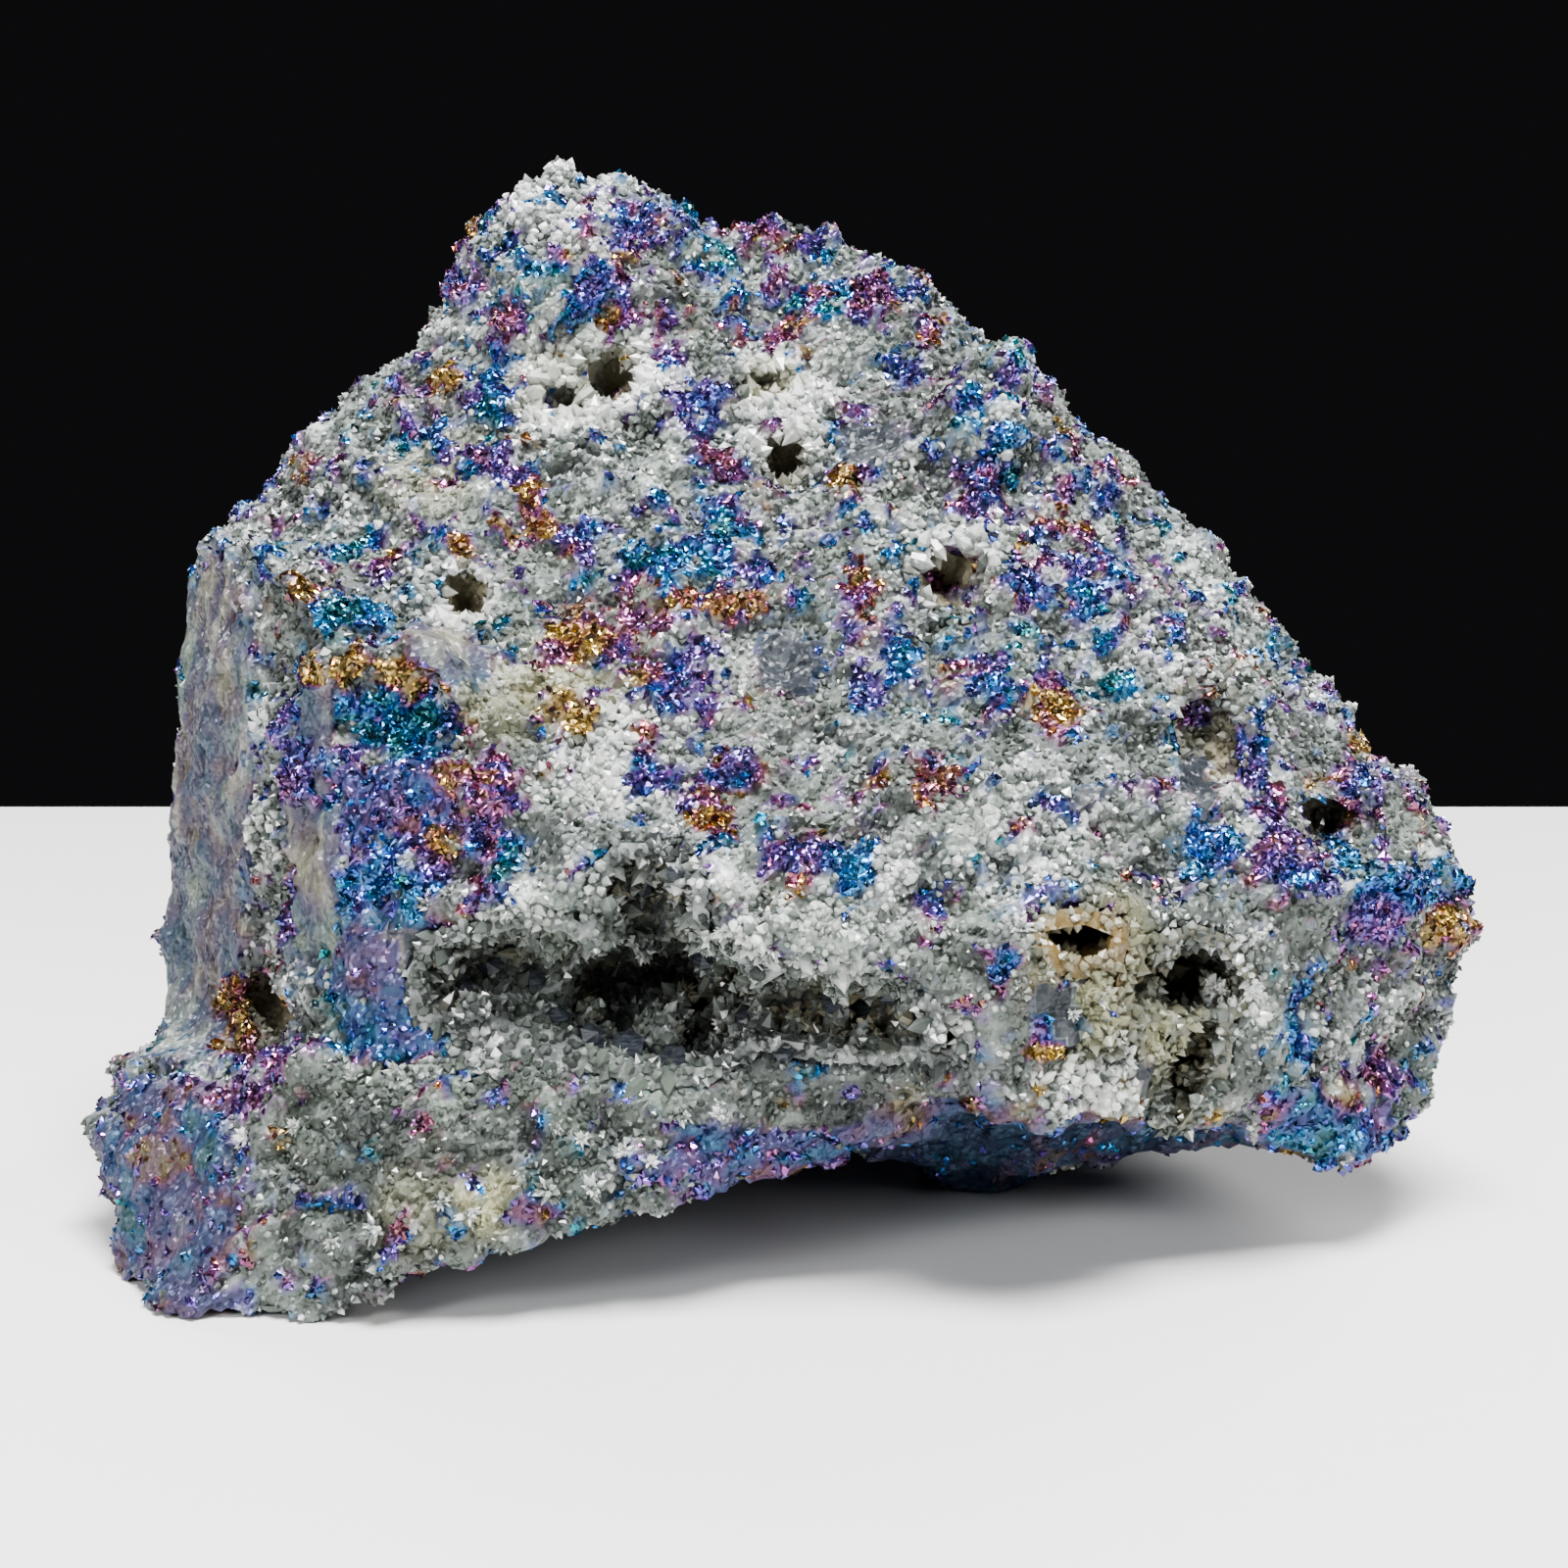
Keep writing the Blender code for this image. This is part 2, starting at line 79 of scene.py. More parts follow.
# Larger ore patches on the front: left, top, right, bottom in the photograph's pixels, then the
# thinnest and the thickest film on the patch.
ORE_PATCHES = {
    "crown": (620, 195, 690, 258, VIOLET, BLUE),
    "crown_left_face": (575, 255, 648, 330, VIOLET, CYAN),
    "peak_left_edge": (448, 248, 486, 305, ROSE, BLUE),
    "peak_gold": (478, 215, 503, 238, GOLD, ORANGE),
    "peak_recess_rim": (526, 260, 556, 295, BLUE, CYAN),
    "peak_low_left": (480, 300, 545, 350, ROSE, VIOLET),
    "shoulder_cyan": (482, 368, 518, 430, BLUE, TEAL),
    "shoulder_gold": (440, 368, 486, 400, GOLD, GOLD),
    "shoulder_blue": (428, 420, 456, 453, BLUE, BLUE),
    "between_pits": (672, 383, 746, 435, VIOLET, BLUE),
    "above_pit": (624, 312, 656, 340, ROSE, VIOLET),
    "above_pit_right": (663, 350, 700, 377, ROSE, VIOLET),
    "crown_right_blue": (726, 258, 757, 288, BLUE, CYAN),
    "crown_right_gold": (758, 308, 826, 358, GOLD, ROSE),
    "crown_right_rose": (800, 285, 848, 315, ROSE, ROSE),
    "top_edge_violet": (816, 229, 846, 266, VIOLET, BLUE),
    "top_edge_right": (864, 265, 912, 325, ROSE, VIOLET),
    "right_ridge_gold": (934, 313, 963, 345, GOLD, VIOLET),
    "right_ridge_violet": (903, 344, 945, 390, VIOLET, BLUE),
    "right_ridge_blue": (977, 392, 1010, 418, BLUE, CYAN),
    "slot_right": (857, 402, 894, 429, ROSE, BLUE),
    "pit_right_rose": (872, 463, 894, 489, ROSE, ROSE),
    "pit_right_gold": (834, 466, 876, 510, GOLD, GOLD),
    "right_field": (976, 460, 1060, 535, ROSE, BLUE),
    "right_field_cyan": (976, 430, 1070, 468, BLUE, CYAN),
    "right_field_gold": (1033, 545, 1056, 562, GOLD, ORANGE),
    "right_edge_violet": (1015, 350, 1047, 390, VIOLET, BLUE),
    "right_edge_low": (1120, 494, 1148, 516, VIOLET, BLUE),
    "right_slope": (1080, 560, 1150, 640, VIOLET, CYAN),
    "right_slope_low": (1020, 560, 1080, 620, ROSE, BLUE),
    "centre_speck": (791, 520, 815, 557, BLUE, CYAN),
    "cross_top": (475, 444, 547, 504, VIOLET, CYAN),
    "cross_orange": (513, 488, 568, 547, GOLD, ROSE),
    "cross_low": (460, 541, 496, 575, ORANGE, ORANGE),
    "centre_rose": (707, 431, 769, 488, ROSE, VIOLET),
    "centre_teal": (706, 490, 762, 600, BLUE, TEAL),
    "centre_rose_fold": (735, 493, 768, 536, ROSE, BLUE),
    "centre_cyan": (644, 531, 706, 600, CYAN, TEAL),
    "centre_blue_foot": (735, 560, 803, 600, VIOLET, BLUE),
    "gold_band": (687, 598, 798, 630, GOLD, ORANGE),
    "gold_speck": (765, 486, 784, 502, GOLD, GOLD),
    "violet_speck": (569, 530, 617, 580, VIOLET, BLUE),
    "orange_field": (552, 600, 624, 672, GOLD, ORANGE),
    "rose_field": (546, 640, 590, 676, ROSE, ROSE),
    "gold_foot": (552, 705, 612, 748, GOLD, GOLD),
    "violet_column": (617, 598, 658, 674, ORANGE, VIOLET),
    "violet_sheet": (641, 657, 739, 735, VIOLET, BLUE),
    "orange_sheet": (636, 720, 682, 750, GOLD, ORANGE),
    "slot_gold": (850, 576, 902, 648, GOLD, VIOLET),
    "dark_violet": (874, 670, 902, 717, VIOLET, BLUE),
    "blue_pair": (720, 754, 767, 804, VIOLET, CYAN),
    "blue_pair_left": (636, 777, 706, 814, VIOLET, BLUE),
    "brown_gold": (684, 814, 743, 850, GOLD, ORANGE),
    "brow_field": (768, 845, 848, 900, ROSE, BLUE),
    "brow_field_right": (840, 850, 900, 912, VIOLET, CYAN),
    "brow_gold": (790, 885, 830, 915, GOLD, ORANGE),
    "brow_blue_dot": (925, 898, 965, 930, VIOLET, CYAN),
    "left_gold": (281, 580, 322, 616, GOLD, GOLD),
    "upper_pocket": (309, 598, 400, 653, BLUE, TEAL),
    "gold_rim": (304, 663, 455, 708, GOLD, GOLD),
    "gold_rim_right": (400, 690, 455, 729, GOLD, ORANGE),
    "lower_pocket": (341, 699, 455, 777, CYAN, TEAL),
    "pillar_violet": (330, 775, 450, 880, VIOLET, BLUE),
    "pillar_rose": (440, 770, 533, 830, GOLD, VIOLET),
    "pillar_gold": (370, 820, 440, 860, GOLD, ROSE),
    "pillar_right": (440, 830, 520, 880, ROSE, BLUE),
    "pillar_edge": (281, 700, 316, 830, VIOLET, BLUE),
    "pillar_edge_low": (283, 868, 313, 965, ROSE, VIOLET),
    "pillar_blue": (340, 874, 428, 948, BLUE, CYAN),
    "pillar_cyan": (398, 903, 434, 968, CYAN, CYAN),
    "pillar_foot": (325, 950, 440, 1010, VIOLET, BLUE),
    "pillar_foot_blue": (350, 1000, 475, 1084, BLUE, CYAN),
    "brow_teal": (490, 865, 526, 904, CYAN, TEAL),
    "cavern_blue": (631, 1005, 676, 1022, BLUE, CYAN),
    "lip_gold": (860, 1001, 938, 1051, GOLD, ORANGE),
    "chip_blue": (1004, 969, 1034, 1020, BLUE, CYAN),
    "knob_blue": (1046, 1033, 1082, 1068, VIOLET, BLUE),
    "knob_gold": (1043, 1057, 1098, 1088, GOLD, GOLD),
    "knob_violet": (976, 1058, 1008, 1078, VIOLET, VIOLET),
    "lip_orange": (947, 1081, 976, 1104, ORANGE, ORANGE),
    "lip_orange_low": (985, 1119, 1005, 1136, ORANGE, ORANGE),
    "under_edge_left": (508, 1225, 570, 1251, ORANGE, VIOLET),
    "under_edge": (650, 1160, 745, 1222, ROSE, BLUE),
    "under_edge_right": (735, 1150, 900, 1185, VIOLET, BLUE),
    "middle_foot": (880, 1120, 1060, 1240, BLUE, CYAN),
    "right_under_edge": (1060, 1140, 1260, 1190, BLUE, CYAN),
    "side_cyan": (1209, 828, 1277, 901, CYAN, BLUE),
    "side_rose": (1270, 805, 1330, 909, ROSE, VIOLET),
    "side_violet": (1360, 777, 1407, 817, VIOLET, BLUE),
    "side_band": (1276, 856, 1400, 914, VIOLET, CYAN),
    "side_band_right": (1390, 865, 1504, 930, BLUE, CYAN),
    "side_low_violet": (1384, 918, 1438, 970, VIOLET, VIOLET),
    "side_gold": (1449, 920, 1496, 978, GOLD, ORANGE),
    "side_gold_top": (1380, 744, 1415, 766, GOLD, GOLD),
    "side_blue_top": (1258, 754, 1300, 802, VIOLET, BLUE),
    "side_speck": (1278, 713, 1297, 740, BLUE, BLUE),
    "side_streak": (1310, 1000, 1342, 1090, BLUE, CYAN),
    "side_foot": (1383, 1071, 1450, 1122, ORANGE, VIOLET),
    "side_foot_blue": (1300, 1130, 1345, 1165, BLUE, CYAN),
    "side_foot_low": (1380, 1140, 1410, 1170, VIOLET, BLUE),
    "right_field_violet": (980, 660, 1040, 740, ROSE, BLUE),
    "right_field_orange": (1040, 690, 1110, 740, GOLD, ROSE),
    "right_field_middle": (900, 650, 940, 700, VIOLET, CYAN),
    "brow_orange": (930, 770, 975, 810, ORANGE, ROSE),
    "foot_gold": (205, 990, 262, 1075, GOLD, ORANGE),
    "foot_rose": (228, 1055, 320, 1110, ROSE, VIOLET),
    "foot_strip": (180, 1100, 280, 1142, ROSE, VIOLET),
    "foot_bulge": (105, 1090, 165, 1145, VIOLET, BLUE),
    "foot_middle_gold": (130, 1160, 195, 1210, GOLD, ROSE),
    "foot_violet": (120, 1195, 236, 1275, VIOLET, BLUE),
    "foot_low": (120, 1265, 240, 1345, VIOLET, BLUE),
}
PATCH_REACH = 16 * MM

# Patches of dull gray ore with only a breath of tarnish, and the long left face with its streaks:
# left, top, right, bottom in the photograph's pixels, how far the patch reaches in depth, and how
# dull it is.
SLATE = 1.0
WALL = 0.85
DULL_PATCHES = {
    "left_face_top": (176, 560, 250, 820, 60 * MM, WALL),
    "left_face_middle": (168, 700, 250, 960, 60 * MM, WALL),
    "left_face_lower": (140, 830, 246, 1085, 60 * MM, WALL),
    "pillar_top": (292, 690, 348, 765, 16 * MM, WALL),
    "pillar_inside": (285, 790, 345, 1000, 16 * MM, WALL),
    "pillar_slate": (385, 935, 445, 1000, 8 * MM, SLATE),
    "gray_field": (405, 622, 500, 700, 8 * MM, WALL),
    "top_slate": (858, 424, 922, 474, 8 * MM, SLATE),
    "centre_slate": (775, 640, 838, 704, 8 * MM, SLATE),
    "rod_slate": (1199, 766, 1232, 812, 8 * MM, SLATE),
    "rod_slate_low": (1216, 790, 1244, 830, 8 * MM, SLATE),
    "field_slate": (1090, 795, 1126, 823, 8 * MM, SLATE),
    "knob_slate": (1050, 1000, 1092, 1050, 8 * MM, SLATE),
    "knob_slate_low": (1068, 1025, 1108, 1075, 8 * MM, SLATE),
    "groove_slate": (1155, 1080, 1195, 1130, 8 * MM, SLATE),
}
DULL_RAGGED = 0.4

# Matte tarnish, between bright ore and slate, in the same order.
MUTED_PATCHES = {
    "left_foot": (95, 1095, 240, 1350, 20 * MM, 0.70),
    "pillar_foot": (325, 930, 440, 1030, 16 * MM, 0.65),
    "pillar_low": (345, 1010, 470, 1086, 12 * MM, 0.45),
    "pillar_middle": (330, 775, 450, 850, 16 * MM, 0.35),
    "under_edge": (650, 1150, 900, 1215, 30 * MM, 0.55),
    "under_edge_left": (508, 1222, 575, 1252, 20 * MM, 0.50),
    "middle_foot": (880, 1120, 1070, 1240, 60 * MM, 0.70),
    "right_under_edge": (1060, 1140, 1290, 1195, 60 * MM, 0.70),
    "right_foot": (1280, 1110, 1430, 1190, 16 * MM, 0.40),
}

# How much of an area small ore specks take up: left, top, right, bottom, share.
SPECK_ZONES = {
    "crown": (440, 180, 1000, 340, 0.44),
    "left_shoulder": (380, 330, 560, 480, 0.42),
    "left_top": (220, 430, 480, 640, 0.34),
    "centre": (560, 480, 760, 720, 0.40),
    "right_slope": (900, 330, 1180, 760, 0.37),
    "right_slope_low": (1150, 560, 1420, 760, 0.29),
    "above_brow": (620, 700, 960, 900, 0.24),
    "pillar": (290, 700, 540, 960, 0.66),
    "right_side": (1230, 760, 1500, 960, 0.29),
    "right_foot": (1290, 960, 1480, 1190, 0.20),
    "left_foot": (100, 1080, 240, 1350, 0.60),
}
LOOSE_SPECKS = 0.13
HIDDEN_SPECKS = 0.30
SPECK_THRESHOLD = 0.52
SPECK_ZONE_EDGE = 0.25

# Which parts of the surface count as facing the camera: the cosine to the line of sight.
FRONT_FACING = 0.05
PATCH_FACING = -0.3

# Levels between which quartz gives way to bright ore and to dull ore, and the most for matte ore.
ORE_EDGE = (-0.25, 0.40)
DULL_EDGE = (-0.03, 0.05)
MUTED_LEVEL = 0.3
EDGE_SHIFT = 0.12
FILM_MIDDLE = 0.5

# Waves of soft noise over the surface: size, strength, and a number that sets each apart.
EDGE_WAVES = [(3.2 * MM, 0.85, 1), (1.5 * MM, 0.8, 2)]
BLEND_WAVES = [(3.6 * MM, 1.2, 3), (1.5 * MM, 0.6, 4)]
FILM_WAVES = [(2.1 * MM, 0.12, 5)]
HIDDEN_WAVES = [(26 * MM, 0.4, 6)]
SPECK_WAVES = [(2.5 * MM, 1.0, 7), (1.15 * MM, 0.65, 8)]
SPECK_FILM_WAVES = [(6.5 * MM, 0.62, 9), (2.6 * MM, 0.45, 10)]
PATCHY_WAVES = [(7 * MM, 0.42, 11), (2.6 * MM, 0.3, 14)]
COARSE_WAVES = [(5 * MM, 0.6, 13)]
OPEN_EDGE_WAVES = [(2.4 * MM, 0.8, 15)]
NOISE_SHIFT = (17.3, 5.1, 9.7)

# Quartz that is whiter, partly painted light; quartz darkened by painted shade in the cavern, the
# hollows, the recesses and under the lip; and stained quartz: centre, radius, strength, all in the
# photograph's pixels.
WHITE_QUARTZ_AND_PAINTED_LIGHT = {
    "peak_lump": (560, 205, 85, 0.9),
    "peak_pit": (600, 400, 110, 1.0),
    "slot": (790, 410, 80, 0.9),
    "shoulder_pit": (965, 575, 90, 0.9),
    "wall_pit": (450, 600, 55, 0.8),
    "white_mass": (622, 765, 85, 1.0),
    "left_band_top": (262, 730, 42, 0.9),
    "left_band": (268, 850, 42, 0.9),
    "left_band_low": (272, 960, 36, 0.8),
    "lip_cluster": (490, 1085, 45, 1.0),
    "lip_band": (390, 1085, 60, 0.8),
    "brow": (900, 940, 90, 0.5),
    "brow_left_start": (490, 922, 30, 0.9),
    "brow_left": (540, 924, 34, 1.0),
    "brow_left_end": (596, 892, 34, 1.0),
    "brow_right_start": (730, 905, 26, 0.9),
    "brow_right": (762, 955, 30, 1.0),
    "brow_right_end": (835, 985, 36, 0.9),
    # upper_right and left_top are painted light, on slopes that the lamps leave dim.
    "upper_right": (1000, 440, 120, 0.4),
    "left_top": (340, 520, 110, 0.35),
    "right_end": (1390, 1060, 90, 0.3),
    "knob": (1110, 1095, 85, 1.0),
    "right_cluster": (1258, 1020, 50, 1.0),
    "right_field": (1060, 840, 110, 0.55),
    "right_edge": (1220, 650, 120, 0.4),
    "under_knob": (640, 1190, 60, 0.6),
}
PAINTED_SHADE_ZONES = {
    "cavern_left": (520, 985, 90, 0.4),
    "cavern": (660, 1020, 100, 0.4),
    "cavern_notch": (665, 895, 50, 0.5),
    "lip_shadow": (420, 1165, 160, 1.15),
    "lip_shadow_middle": (560, 1150, 140, 1.15),
    "lip_shadow_right": (690, 1110, 90, 0.8),
    "lip_left": (310, 1170, 110, 0.9),
    "lip_middle": (860, 1080, 90, 0.6),
    "right_hollow": (1200, 1000, 95, 1.0),
    "right_hole": (1110, 960, 70, 0.9),
    "right_floor": (1130, 1025, 70, 0.7),
    "right_groove": (1190, 1095, 60, 1.0),
    "side_recess": (1232, 750, 34, 0.7),
    "lobe_slit": (1370, 840, 40, 0.8),
}
YELLOW_STAIN = {
    "right_hollow": (1115, 1010, 80, 1.0),
    "right_hollow_back": (1150, 960, 60, 1.0),
    "right_groove": (1195, 1060, 55, 1.0),
    "slot": (788, 395, 40, 0.9),
    "shoulder": (440, 480, 70, 0.45),
    "lip": (495, 1226, 40, 1.0),
    "foot": (420, 1240, 60, 0.35),
    "centre": (570, 690, 75, 0.8),
    "centre_left": (500, 720, 50, 0.5),
    "peak": (560, 400, 60, 0.35),
}

# How far out a zone is at full strength and where it ends, for its radius.
ZONE_FULL = 0.45
ZONE_END = 1.25

# The tone of plain quartz, and what makes it lighter or darker: white quartz, partly painted light, and
# pit rims; painted shade in the dark zones and deep in the pits.
QUARTZ_TONE = 0.42
WHITE_LIGHT = 0.44
RIM_LIGHT = 0.22
DARK_SHADE = 0.44
HOLLOW_SHADE = 0.20

# Small lumps of quartz that stand out of the front: centre and radius in the photograph's pixels.
QUARTZ_KNOBS = [
    (564, 1102, 25), (576, 1151, 30), (649, 1179, 30), (698, 1142, 25), (739, 1134, 25),
    (596, 1220, 25), (478, 1244, 33), (731, 1065, 28), (482, 1081, 22), (474, 934, 40),
    (564, 918, 28), (792, 963, 35), (890, 1097, 25), (866, 1069, 20), (334, 1274, 37),
    (267, 1152, 30), (319, 1081, 25), (449, 1100, 25), (252, 1218, 20), (356, 1141, 25),
    (1128, 1041, 30), (1035, 848, 35), (1194, 838, 25), (1152, 783, 20), (1263, 1017, 28),
    (1145, 1124, 25), (1073, 1131, 25), (1021, 990, 20), (1014, 1107, 22), (1273, 1107, 25),
    (594, 452, 32), (554, 386, 25), (670, 405, 22), (746, 368, 25), (826, 434, 22),
    (539, 215, 30), (866, 535, 22), (935, 535, 25), (505, 925, 24), (536, 930, 24), (588, 900, 24),
    (608, 868, 22), (726, 898, 20), (744, 932, 22), (770, 966, 24), (828, 986, 26), (858, 986, 22),
]
KNOB_HEIGHT = 0.5

# The small pits, ringed with larger white points: centre and radius in the photograph's pixels.
PITS = {
    "peak_pit": (621, 380, 30), "peak_pit_left": (570, 402, 18), "slot": (788, 388, 20),
    "slot_pit": (804, 462, 22), "shoulder_pit": (972, 586, 32), "wall_pit": (472, 608, 22),
    "side_recess": (1232, 748, 28),
}
RIM_PLACE = 1.15
RIM_WIDTH = 0.35
RIM_DEPTH = 2.5

# The brown hole in the right hollow, a spot on its rim, and the open middles of the hole and of
# the pits, which no points hide.
HOLE_BOX = (1062, 930, 1150, 990)
HOLE_MARK = (1106, 984)
HOLE_REACH = 7 * MM
HOLE_EDGE = (0.9, 1.3)
OPEN_BOXES = [
    (1072, 940, 1138, 974), (601, 354, 643, 404), (554, 392, 576, 414), (793, 436, 817, 482),
    (948, 562, 996, 612), (456, 597, 486, 620),
]

# Clusters of white points that stand out: places in the photograph's pixels.
WHITE_CLUSTERS = [
    (482, 1072), (502, 1066), (492, 1092), (562, 1098), (590, 1104), (566, 1148), (594, 1162),
    (636, 1176), (664, 1186), (700, 1138), (734, 1128), (736, 1062), (480, 1240), (450, 1226),
    (560, 1216), (604, 1214), (1240, 1008), (1262, 1022), (1278, 1012), (1122, 1020), (1096, 1034),
    (1142, 1058), (1150, 1086), (868, 984), (832, 988), (796, 978), (762, 956), (740, 924),
    (722, 890), (612, 862), (592, 892), (560, 922), (524, 930), (488, 930), (330, 1084),
    (360, 1098), (404, 1092), (444, 1098), (340, 1270), (380, 1256), (250, 1160), (300, 1150),
]
CLUSTER_TONE = 0.52

# The large smoky crystals in the cavern: place in the photograph's pixels, then width.
SMOKY_CRYSTALS = [
    (640, 1072, 3.9 * MM), (602, 1062, 3.2 * MM), (570, 1040, 2.6 * MM), (688, 1082, 2.9 * MM),
    (618, 1098, 2.4 * MM), (545, 1000, 2.2 * MM), (880, 1030, 3.0 * MM), (906, 1012, 2.3 * MM),
    (850, 1022, 2.2 * MM), (760, 1040, 2.6 * MM), (720, 980, 2.4 * MM), (500, 985, 2.6 * MM),
    (475, 1010, 2.0 * MM), (655, 905, 2.4 * MM), (690, 890, 2.0 * MM), (800, 1075, 2.1 * MM),
]
SMOKY_LENGTH = (0.7, 1.0)
SMOKY_LEAN = 0.35
SMOKY_SINK = 0.3
SMOKY_TURN = 0.8

# Grain of the rough rock surface. Relief and ribs: size, height, and the noise's own number.
# Dents: size and depth.
ROCK_VOXEL = 0.9 * MM
ROCK_SMOOTHING = 3
RELIEF = [(9.0 * MM, 1.2 * MM, 20), (4.0 * MM, 0.8 * MM, 21), (1.8 * MM, 0.4 * MM, 22)]
RIB_WAVES = [(2.4 * MM, 0.55 * MM, 12)]
RIB_STRETCH = 7.0
DENTS = [(8.0 * MM, 1.0 * MM), (3.6 * MM, 1.0 * MM)]
DENT_STEEPNESS = 2.5
# How much darker the quartz is along the creases between dents: painted shade.
GROOVE_PAINTED_SHADE = 0.22
LAP_HEIGHT = 0.5 * MM
LAP_REACH = 4.5 * MM
LAP_FULL = 0.3
ORE_RAISE = 0.6 * MM
GRAIN_JITTER = 0.22 * MM
WELD = 0.01 * MM

# How much ore flattens the knobs, and how much dull ore flattens the relief, dents and grain.
KNOB_CALM = 0.5
RELIEF_CALM = 0.5
DENT_CALM = 0.6
GRAIN_CALM = 0.6

# Lines sent out from a point to tell how deep in a pit it is.
HOLLOW_LINES = 18
HOLLOW_REACH = 7 * MM
HOLLOW_OUTWARD = 0.2
LINE_START = 0.3 * MM

# How square the rounded boxes are: 2 would be an oval.
OVAL_POWER = 3

# Strewing: tries in each square one gap wide, and the closest that two places stand, in gaps.
TRIES = 6
CLOSEST = 0.62

# Quartz points: how far they lean and sink, and how deep for their width.
POINT_LEAN = 0.62
POINT_SINK = 0.40
POINT_DEPTH = (0.75, 1.15)
SINK_SPREAD = (0.6, 1.2)
DARKEST_TONE = -0.25
TONE_SPREAD = 0.26
# How much lighter the tips are and darker the roots: painted light at the tips, painted shade at the
# roots between the points.
TIP_LIGHT_ROOT_SHADE = 0.55

# Fine points: the gap between them, width, length for the width, and the ore and hollow levels
# past which fewer stand. FINE_GROWTH is the plain width and what coarse quartz adds to it.
FINE_GAP = 0.80 * MM
FINE_WIDTH = (0.55 * MM, 1.15 * MM)
FINE_LENGTH = (0.8, 1.3)
FINE_LEAN = 0.9
FINE_SHARE = 0.68
FINE_ORE = (0.05, 0.75)
FINE_HOLLOW = (0.6, 1.3)
FINE_GROWTH = (0.85, 0.45)
FINE_CLEAR = 1.2 * MM
DRUSE_PIECES = 6

# Coarse points, which stand where the quartz is coarse or at the edge of a pit. COARSE_GROWTH is
# the least and the most that coarse quartz widens them.
COARSE_GAP = 1.15 * MM
COARSE_WIDTH = (0.85 * MM, 1.35 * MM)
COARSE_LENGTH = (1.3, 2.0)
COARSE_START = (0.3, 1.3)
COARSE_PIT_EDGE = (0.25, 0.9)
COARSE_ORE = 0.35
COARSE_DEEPEST = 0.75
COARSE_GROWTH = (0.9, 1.4)
COARSE_CLEAR = 2.5 * MM
COARSE_LIGHT = 0.12
COARSE_PIECES = 2

# Points on the crusts.
CRUST_GAP = 0.95 * MM
CRUST_WIDTH = (0.8 * MM, 1.4 * MM)
CRUST_LARGE_GAP = 3.0 * MM
CRUST_LARGE_WIDTH = (1.1 * MM, 1.8 * MM)
CRUST_LARGE_SHADE = -0.1
CRUST_CLEAR = 1.5 * MM

# Rosettes: little sprays of points that share one root, along the rims of hollows and pits.
ROSETTE_GAP = 3.0 * MM
ROSETTE_RIM = 4.0 * MM
ROSETTE_RADIUS = (1.0 * MM, 1.8 * MM)
ROSETTE_POINTS = 26
ROSETTE_SHARE = 0.36
ROSETTE_PIT_EDGE = (0.25, 0.6)
ROSETTE_COARSE = 0.45
ROSETTE_ORE = 0.5
ROSETTE_LEAN = 1.15
ROSETTE_LENGTH = (0.65, 1.1)
ROSETTE_WIDTH = (0.24, 0.42)
ROSETTE_SINK = 0.3
ROSETTE_LIGHT = (-0.1, 0.35)

# Ore flakes.
CHIP_GAP = 0.76 * MM
CHIP_WIDTH = (0.75 * MM, 1.7 * MM)
CHIP_DEPTH = (0.6, 1.0)
CHIP_FLATNESS = 0.36
CHIP_SINK = 0.5
CHIP_LEAN = 0.8
CHIP_START = (0.2, 0.9)
CHIP_FILM_SPREAD = 0.07
# At random, how far a flake may turn dark gray: partly bare ore, partly painted dark reflection.
DARKEST_CHIP = 0.18
CHIP_PIECES = 2

# How much of the film's colour the ore between the flakes shows; the rest is dark gray: partly bare ore,
# partly painted shade between the flakes.
ROCK_SHADE = 0.45

# How far the rough surface stays above the solid's lowest point, and the floor below it.
FLOOR_CLEARANCE = 0.05 * MM

# The numbers stored at each corner of a mesh, for the strewing and for the materials.
NUMBERS = ("ore", "film", "dull", "tone", "stain", "coarse", "hollow")


def pixels_of(points):
    """Where points show in the photograph, and how far in front of the camera they are."""
    offset = points - np.array(CAMERA_PLACE)
    depth = offset @ np.array(AHEAD)
    across = PHOTO_SIZE / 2 + FOCAL_PIXELS * (offset @ np.array(RIGHTWARD)) / depth
    down = PHOTO_SIZE / 2 - FOCAL_PIXELS * (offset @ np.array(UPWARD)) / depth
    return across, down, depth


def sight_line(across, down):
    """The direction from the camera through a pixel of the photograph."""
    right = RIGHTWARD * ((across - PHOTO_SIZE / 2) / FOCAL_PIXELS)
    up = UPWARD * ((PHOTO_SIZE / 2 - down) / FOCAL_PIXELS)
    return (AHEAD + right + up).normalized()


def seen_spot(trees, across, down):
    """The place, and its direction, on the surfaces that shows at a pixel of the photograph."""
    hits = [tree.ray_cast(CAMERA_PLACE, sight_line(across, down)) for tree in trees]
    hits = [hit for hit in hits if hit[0] is not None]
    if not hits:
        return None, None
    place, normal, _, _ = min(hits, key=lambda hit: hit[3])
    return place, normal


def pixel_reach(place, pixels):
    """The real length of some pixels of the photograph at a place."""
    return pixels * (place - CAMERA_PLACE).dot(AHEAD) / FOCAL_PIXELS


def ripple(points, size, seed):
    """Soft noise from about -1 to 1 at each point, with waves of the given size."""
    shift = Vector([seed * step for step in NOISE_SHIFT])
    return np.array([noise.noise(Vector(p) / size + shift) for p in points])


def waves(points, layers, middle=0.0):
    """Ripples of several sizes and strengths, added up round a middle value."""
    return sum((strength * ripple(points, size, seed) for size, strength, seed in layers), middle)


